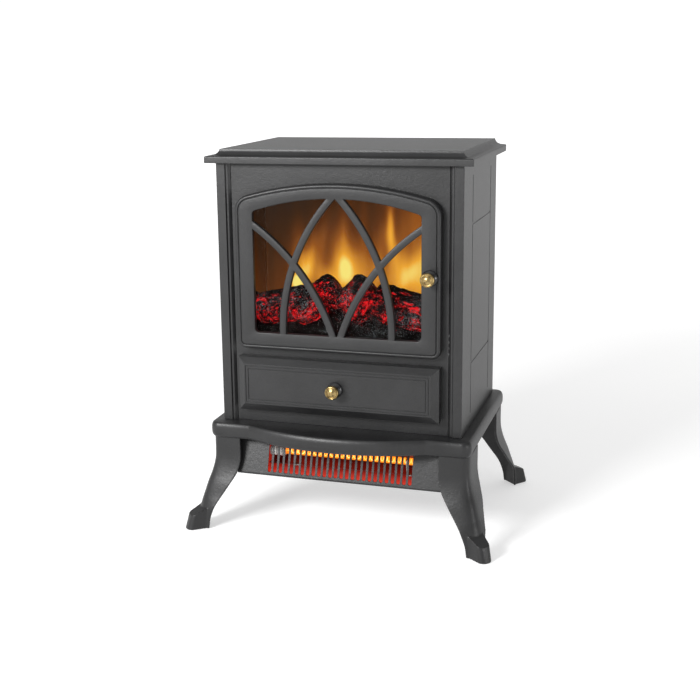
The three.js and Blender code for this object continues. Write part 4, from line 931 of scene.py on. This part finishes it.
def heating_coil():
    """A close-wound helix with a straight tail at each end."""
    per_turn = 14
    left, right = TUBE_LEFT + 1, TUBE_RIGHT - 1
    tail = (right - left) * 0.04
    line = [Vector((left, TUBE_Y, TUBE_Z))]
    total = COIL_TURNS * per_turn
    for i in range(total + 1):
        t = i / total
        turn = 2 * math.pi * COIL_TURNS * t
        swell = min(1.0, i / per_turn, (total - i) / per_turn) * COIL_RADIUS
        x = left + tail + (right - left - 2 * tail) * t
        line.append(Vector((x, TUBE_Y + swell * math.cos(turn), TUBE_Z + swell * math.sin(turn))))
    line.append(Vector((right, TUBE_Y, TUBE_Z)))
    loops = []
    for i, point in enumerate(line):
        along = (line[min(i + 1, len(line) - 1)] - line[max(i - 1, 0)]).normalized()
        side = along.cross(Vector((0.2, 0.1, 1))).normalized()
        up = side.cross(along)
        loops.append([point + (side * math.cos(a) + up * math.sin(a)) * WIRE_RADIUS for a in turns(8)])
    return mesh_object("heating_coil_wound", loft(loops))


piece(quartz_tube(), [QUARTZ], "cabinet", ["quartz_tube"])
piece(heating_coil(), [HOT_WIRE], "cabinet", ["heating_coil"])

# ---------------------------------------------------------------- CAD nodes that stay

# Each finish, with the CAD nodes that wear it and how far their edges are rounded, in millimetres.
KEPT = {
    PAINT: {
        "side_panel_left": 0.5, "side_panel_right": 0.5, "front_panel": 0.4, "rear_cover": 0.3,
        "control_flap": 0.6, "heater_grille": 0.25,
    },
    PAINT_INSIDE: {"control_tray": 0.3},
    LINER: {"firebox_liner": 0.3},
    HOUSING: {"heater_housing": 0.25},
    PLASTIC: {
        "door_magnet": 0.4, "power_switch": 0.3, "heat_switch": 0.3, "power_rocker": 0.5, "heat_rocker": 0.5,
        "thermostat_knob": 0.5, "thermostat": 0.4, "spindle_motor": 0.4, "thermal_cutoff": 0.3,
        "tip_over_switch": 0.4,
    },
    STEEL: {
        "base_pan": 0.3, "tube_bracket_left": 0.2, "tube_bracket_right": 0.2,
        "door_knob_screw": 0.2, "door_hinge_lower": 0.25, "door_hinge_upper": 0.25, "door_pin_lower": 0.2,
        "door_pin_upper": 0.2, "flap_knob_screw": 0.2, "flap_hinge_left": 0.2, "flap_hinge_right": 0.2,
    },
    REFLECTOR_PAINTED_GLOW: {"reflector": 0.0},
    POLISHED: {"flicker_spindle": 0.15},
    GLASS: {"door_pane": 0.3},
    CERAMIC: {"tube_cap_left": 0.4, "tube_cap_right": 0.4},
    RUBBER: {
        "cable_gland": 0.3, "foot_pad_front_left": 0.5, "foot_pad_front_right": 0.5,
        "foot_pad_rear_left": 0.5, "foot_pad_rear_right": 0.5,
    },
    FLAME: {"flame_screen": 0.2},
    BOARD: {"flame_lamp_board": 0.2, "ember_lamp_board": 0.2},
    LENS: {"indicator_lens": 0.2},
}
for kept_finish, kept_nodes in KEPT.items():
    for kept_name, kept_bevel in kept_nodes.items():
        keep(kept_name, kept_finish, kept_bevel)

# ---------------------------------------------------------------- floor, light and camera


def floor():
    """A wide pale sweep that glows slightly, so it stays even out to the horizon."""
    made = Finish("pale_floor", (0.8, 0.8, 0.8), 0.7, spec=0.1)
    tone = made.noise(3.0, detail=2.0)
    made.feed("Base Color", made.ramp(tone, (0.3, 0.60), (0.7, 0.62)))
    reach = made.tree.nodes.new("ShaderNodeVectorMath")
    reach.operation = "LENGTH"
    made.give(reach.inputs[0], made.coords)
    distance = made.math("MULTIPLY", reach.outputs["Value"], 0.25)
    made.feed("Emission Color", made.ramp(distance, (0.12, 0.5), (0.9, 0.88)))
    made.set("Emission Strength", 1.0)
    bm = bmesh.new()
    corners = [bm.verts.new((60 * x, 60 * y, 0)) for x, y in ((-1, -1), (1, -1), (1, 1), (-1, 1))]
    bm.faces.new(corners)
    obj = mesh_object("studio_floor", bm)
    obj.data.materials.append(made.mat)


def softbox(name, place, target, wide, tall, power):
    """A rectangular lamp that faces its target."""
    light = bpy.data.lights.new(name, "AREA")
    light.shape = "RECTANGLE"
    light.size = wide
    light.size_y = tall
    light.energy = power
    obj = bpy.data.objects.new(name, light)
    obj.location = place
    obj.rotation_mode = "QUATERNION"
    obj.rotation_quaternion = (Vector(target) - Vector(place)).to_track_quat("-Z", "Y")
    scene.collection.objects.link(obj)


def studio():
    """A bright horizon, dimmer to the right, under a dark ceiling. Softboxes: key front left, edge right."""
    world = bpy.data.worlds.new("studio")
    scene.world = world
    world.use_nodes = True
    tree = world.node_tree
    coords = tree.nodes.new("ShaderNodeTexCoord")
    split = tree.nodes.new("ShaderNodeSeparateXYZ")
    ramp = tree.nodes.new("ShaderNodeValToRGB")
    tree.links.new(coords.outputs["Generated"], split.inputs[0])
    tree.links.new(split.outputs["Z"], ramp.inputs["Fac"])
    tree.links.new(ramp.outputs["Color"], tree.nodes["Background"].inputs["Color"])
    brightest, fall_to_right = 1.05, -0.5
    falling = tree.nodes.new("ShaderNodeMath")
    falling.operation = "MULTIPLY_ADD"
    tree.links.new(split.outputs["X"], falling.inputs[0])
    falling.inputs[1].default_value = fall_to_right
    falling.inputs[2].default_value = brightest
    limited = tree.nodes.new("ShaderNodeMath")
    limited.operation = "MINIMUM"
    tree.links.new(falling.outputs[0], limited.inputs[0])
    limited.inputs[1].default_value = brightest
    tree.links.new(limited.outputs[0], tree.nodes["Background"].inputs["Strength"])
    elements = ramp.color_ramp.elements
    for element, (height, level) in zip(
        [elements[0], elements[1], elements.new(0.5), elements.new(0.6)],
        ((0.0, 1.0), (1.0, 0.05), (0.3, 1.0), (0.5, 0.08)),
    ):
        element.position = height
        element.color = (level, level, level, 1.0)
    softbox("key_front_left", (-0.85, -1.75, 1.12), (0, -0.1, 0.4), 0.7, 0.5, 66)
    softbox("edge_right", (1.9, -0.75, 0.3), (0.1, 0, 0.1), 0.45, 0.6, 9)


def camera():
    """In front, to the right and a little above, turned by a slight roll."""
    data = bpy.data.cameras.new("camera")
    data.sensor_width = 36.0
    data.lens = 60.84
    data.shift_x = 0.05
    data.shift_y = -0.0357
    obj = bpy.data.objects.new("camera", data)
    place = (0.4256, -1.4856, 0.6066)
    forward = Vector((-0.3068, 0.9255, -0.2222)).normalized()
    level = forward.cross(Vector((0, 0, 1))).normalized()
    upright = level.cross(forward)
    roll = math.radians(0.96)
    right = level * math.cos(roll) - upright * math.sin(roll)
    up = right.cross(forward)
    turn = Matrix((right, up, -forward)).transposed().to_4x4()
    obj.matrix_world = Matrix.Translation(place) @ turn
    scene.collection.objects.link(obj)
    scene.camera = obj


floor()
studio()
camera()
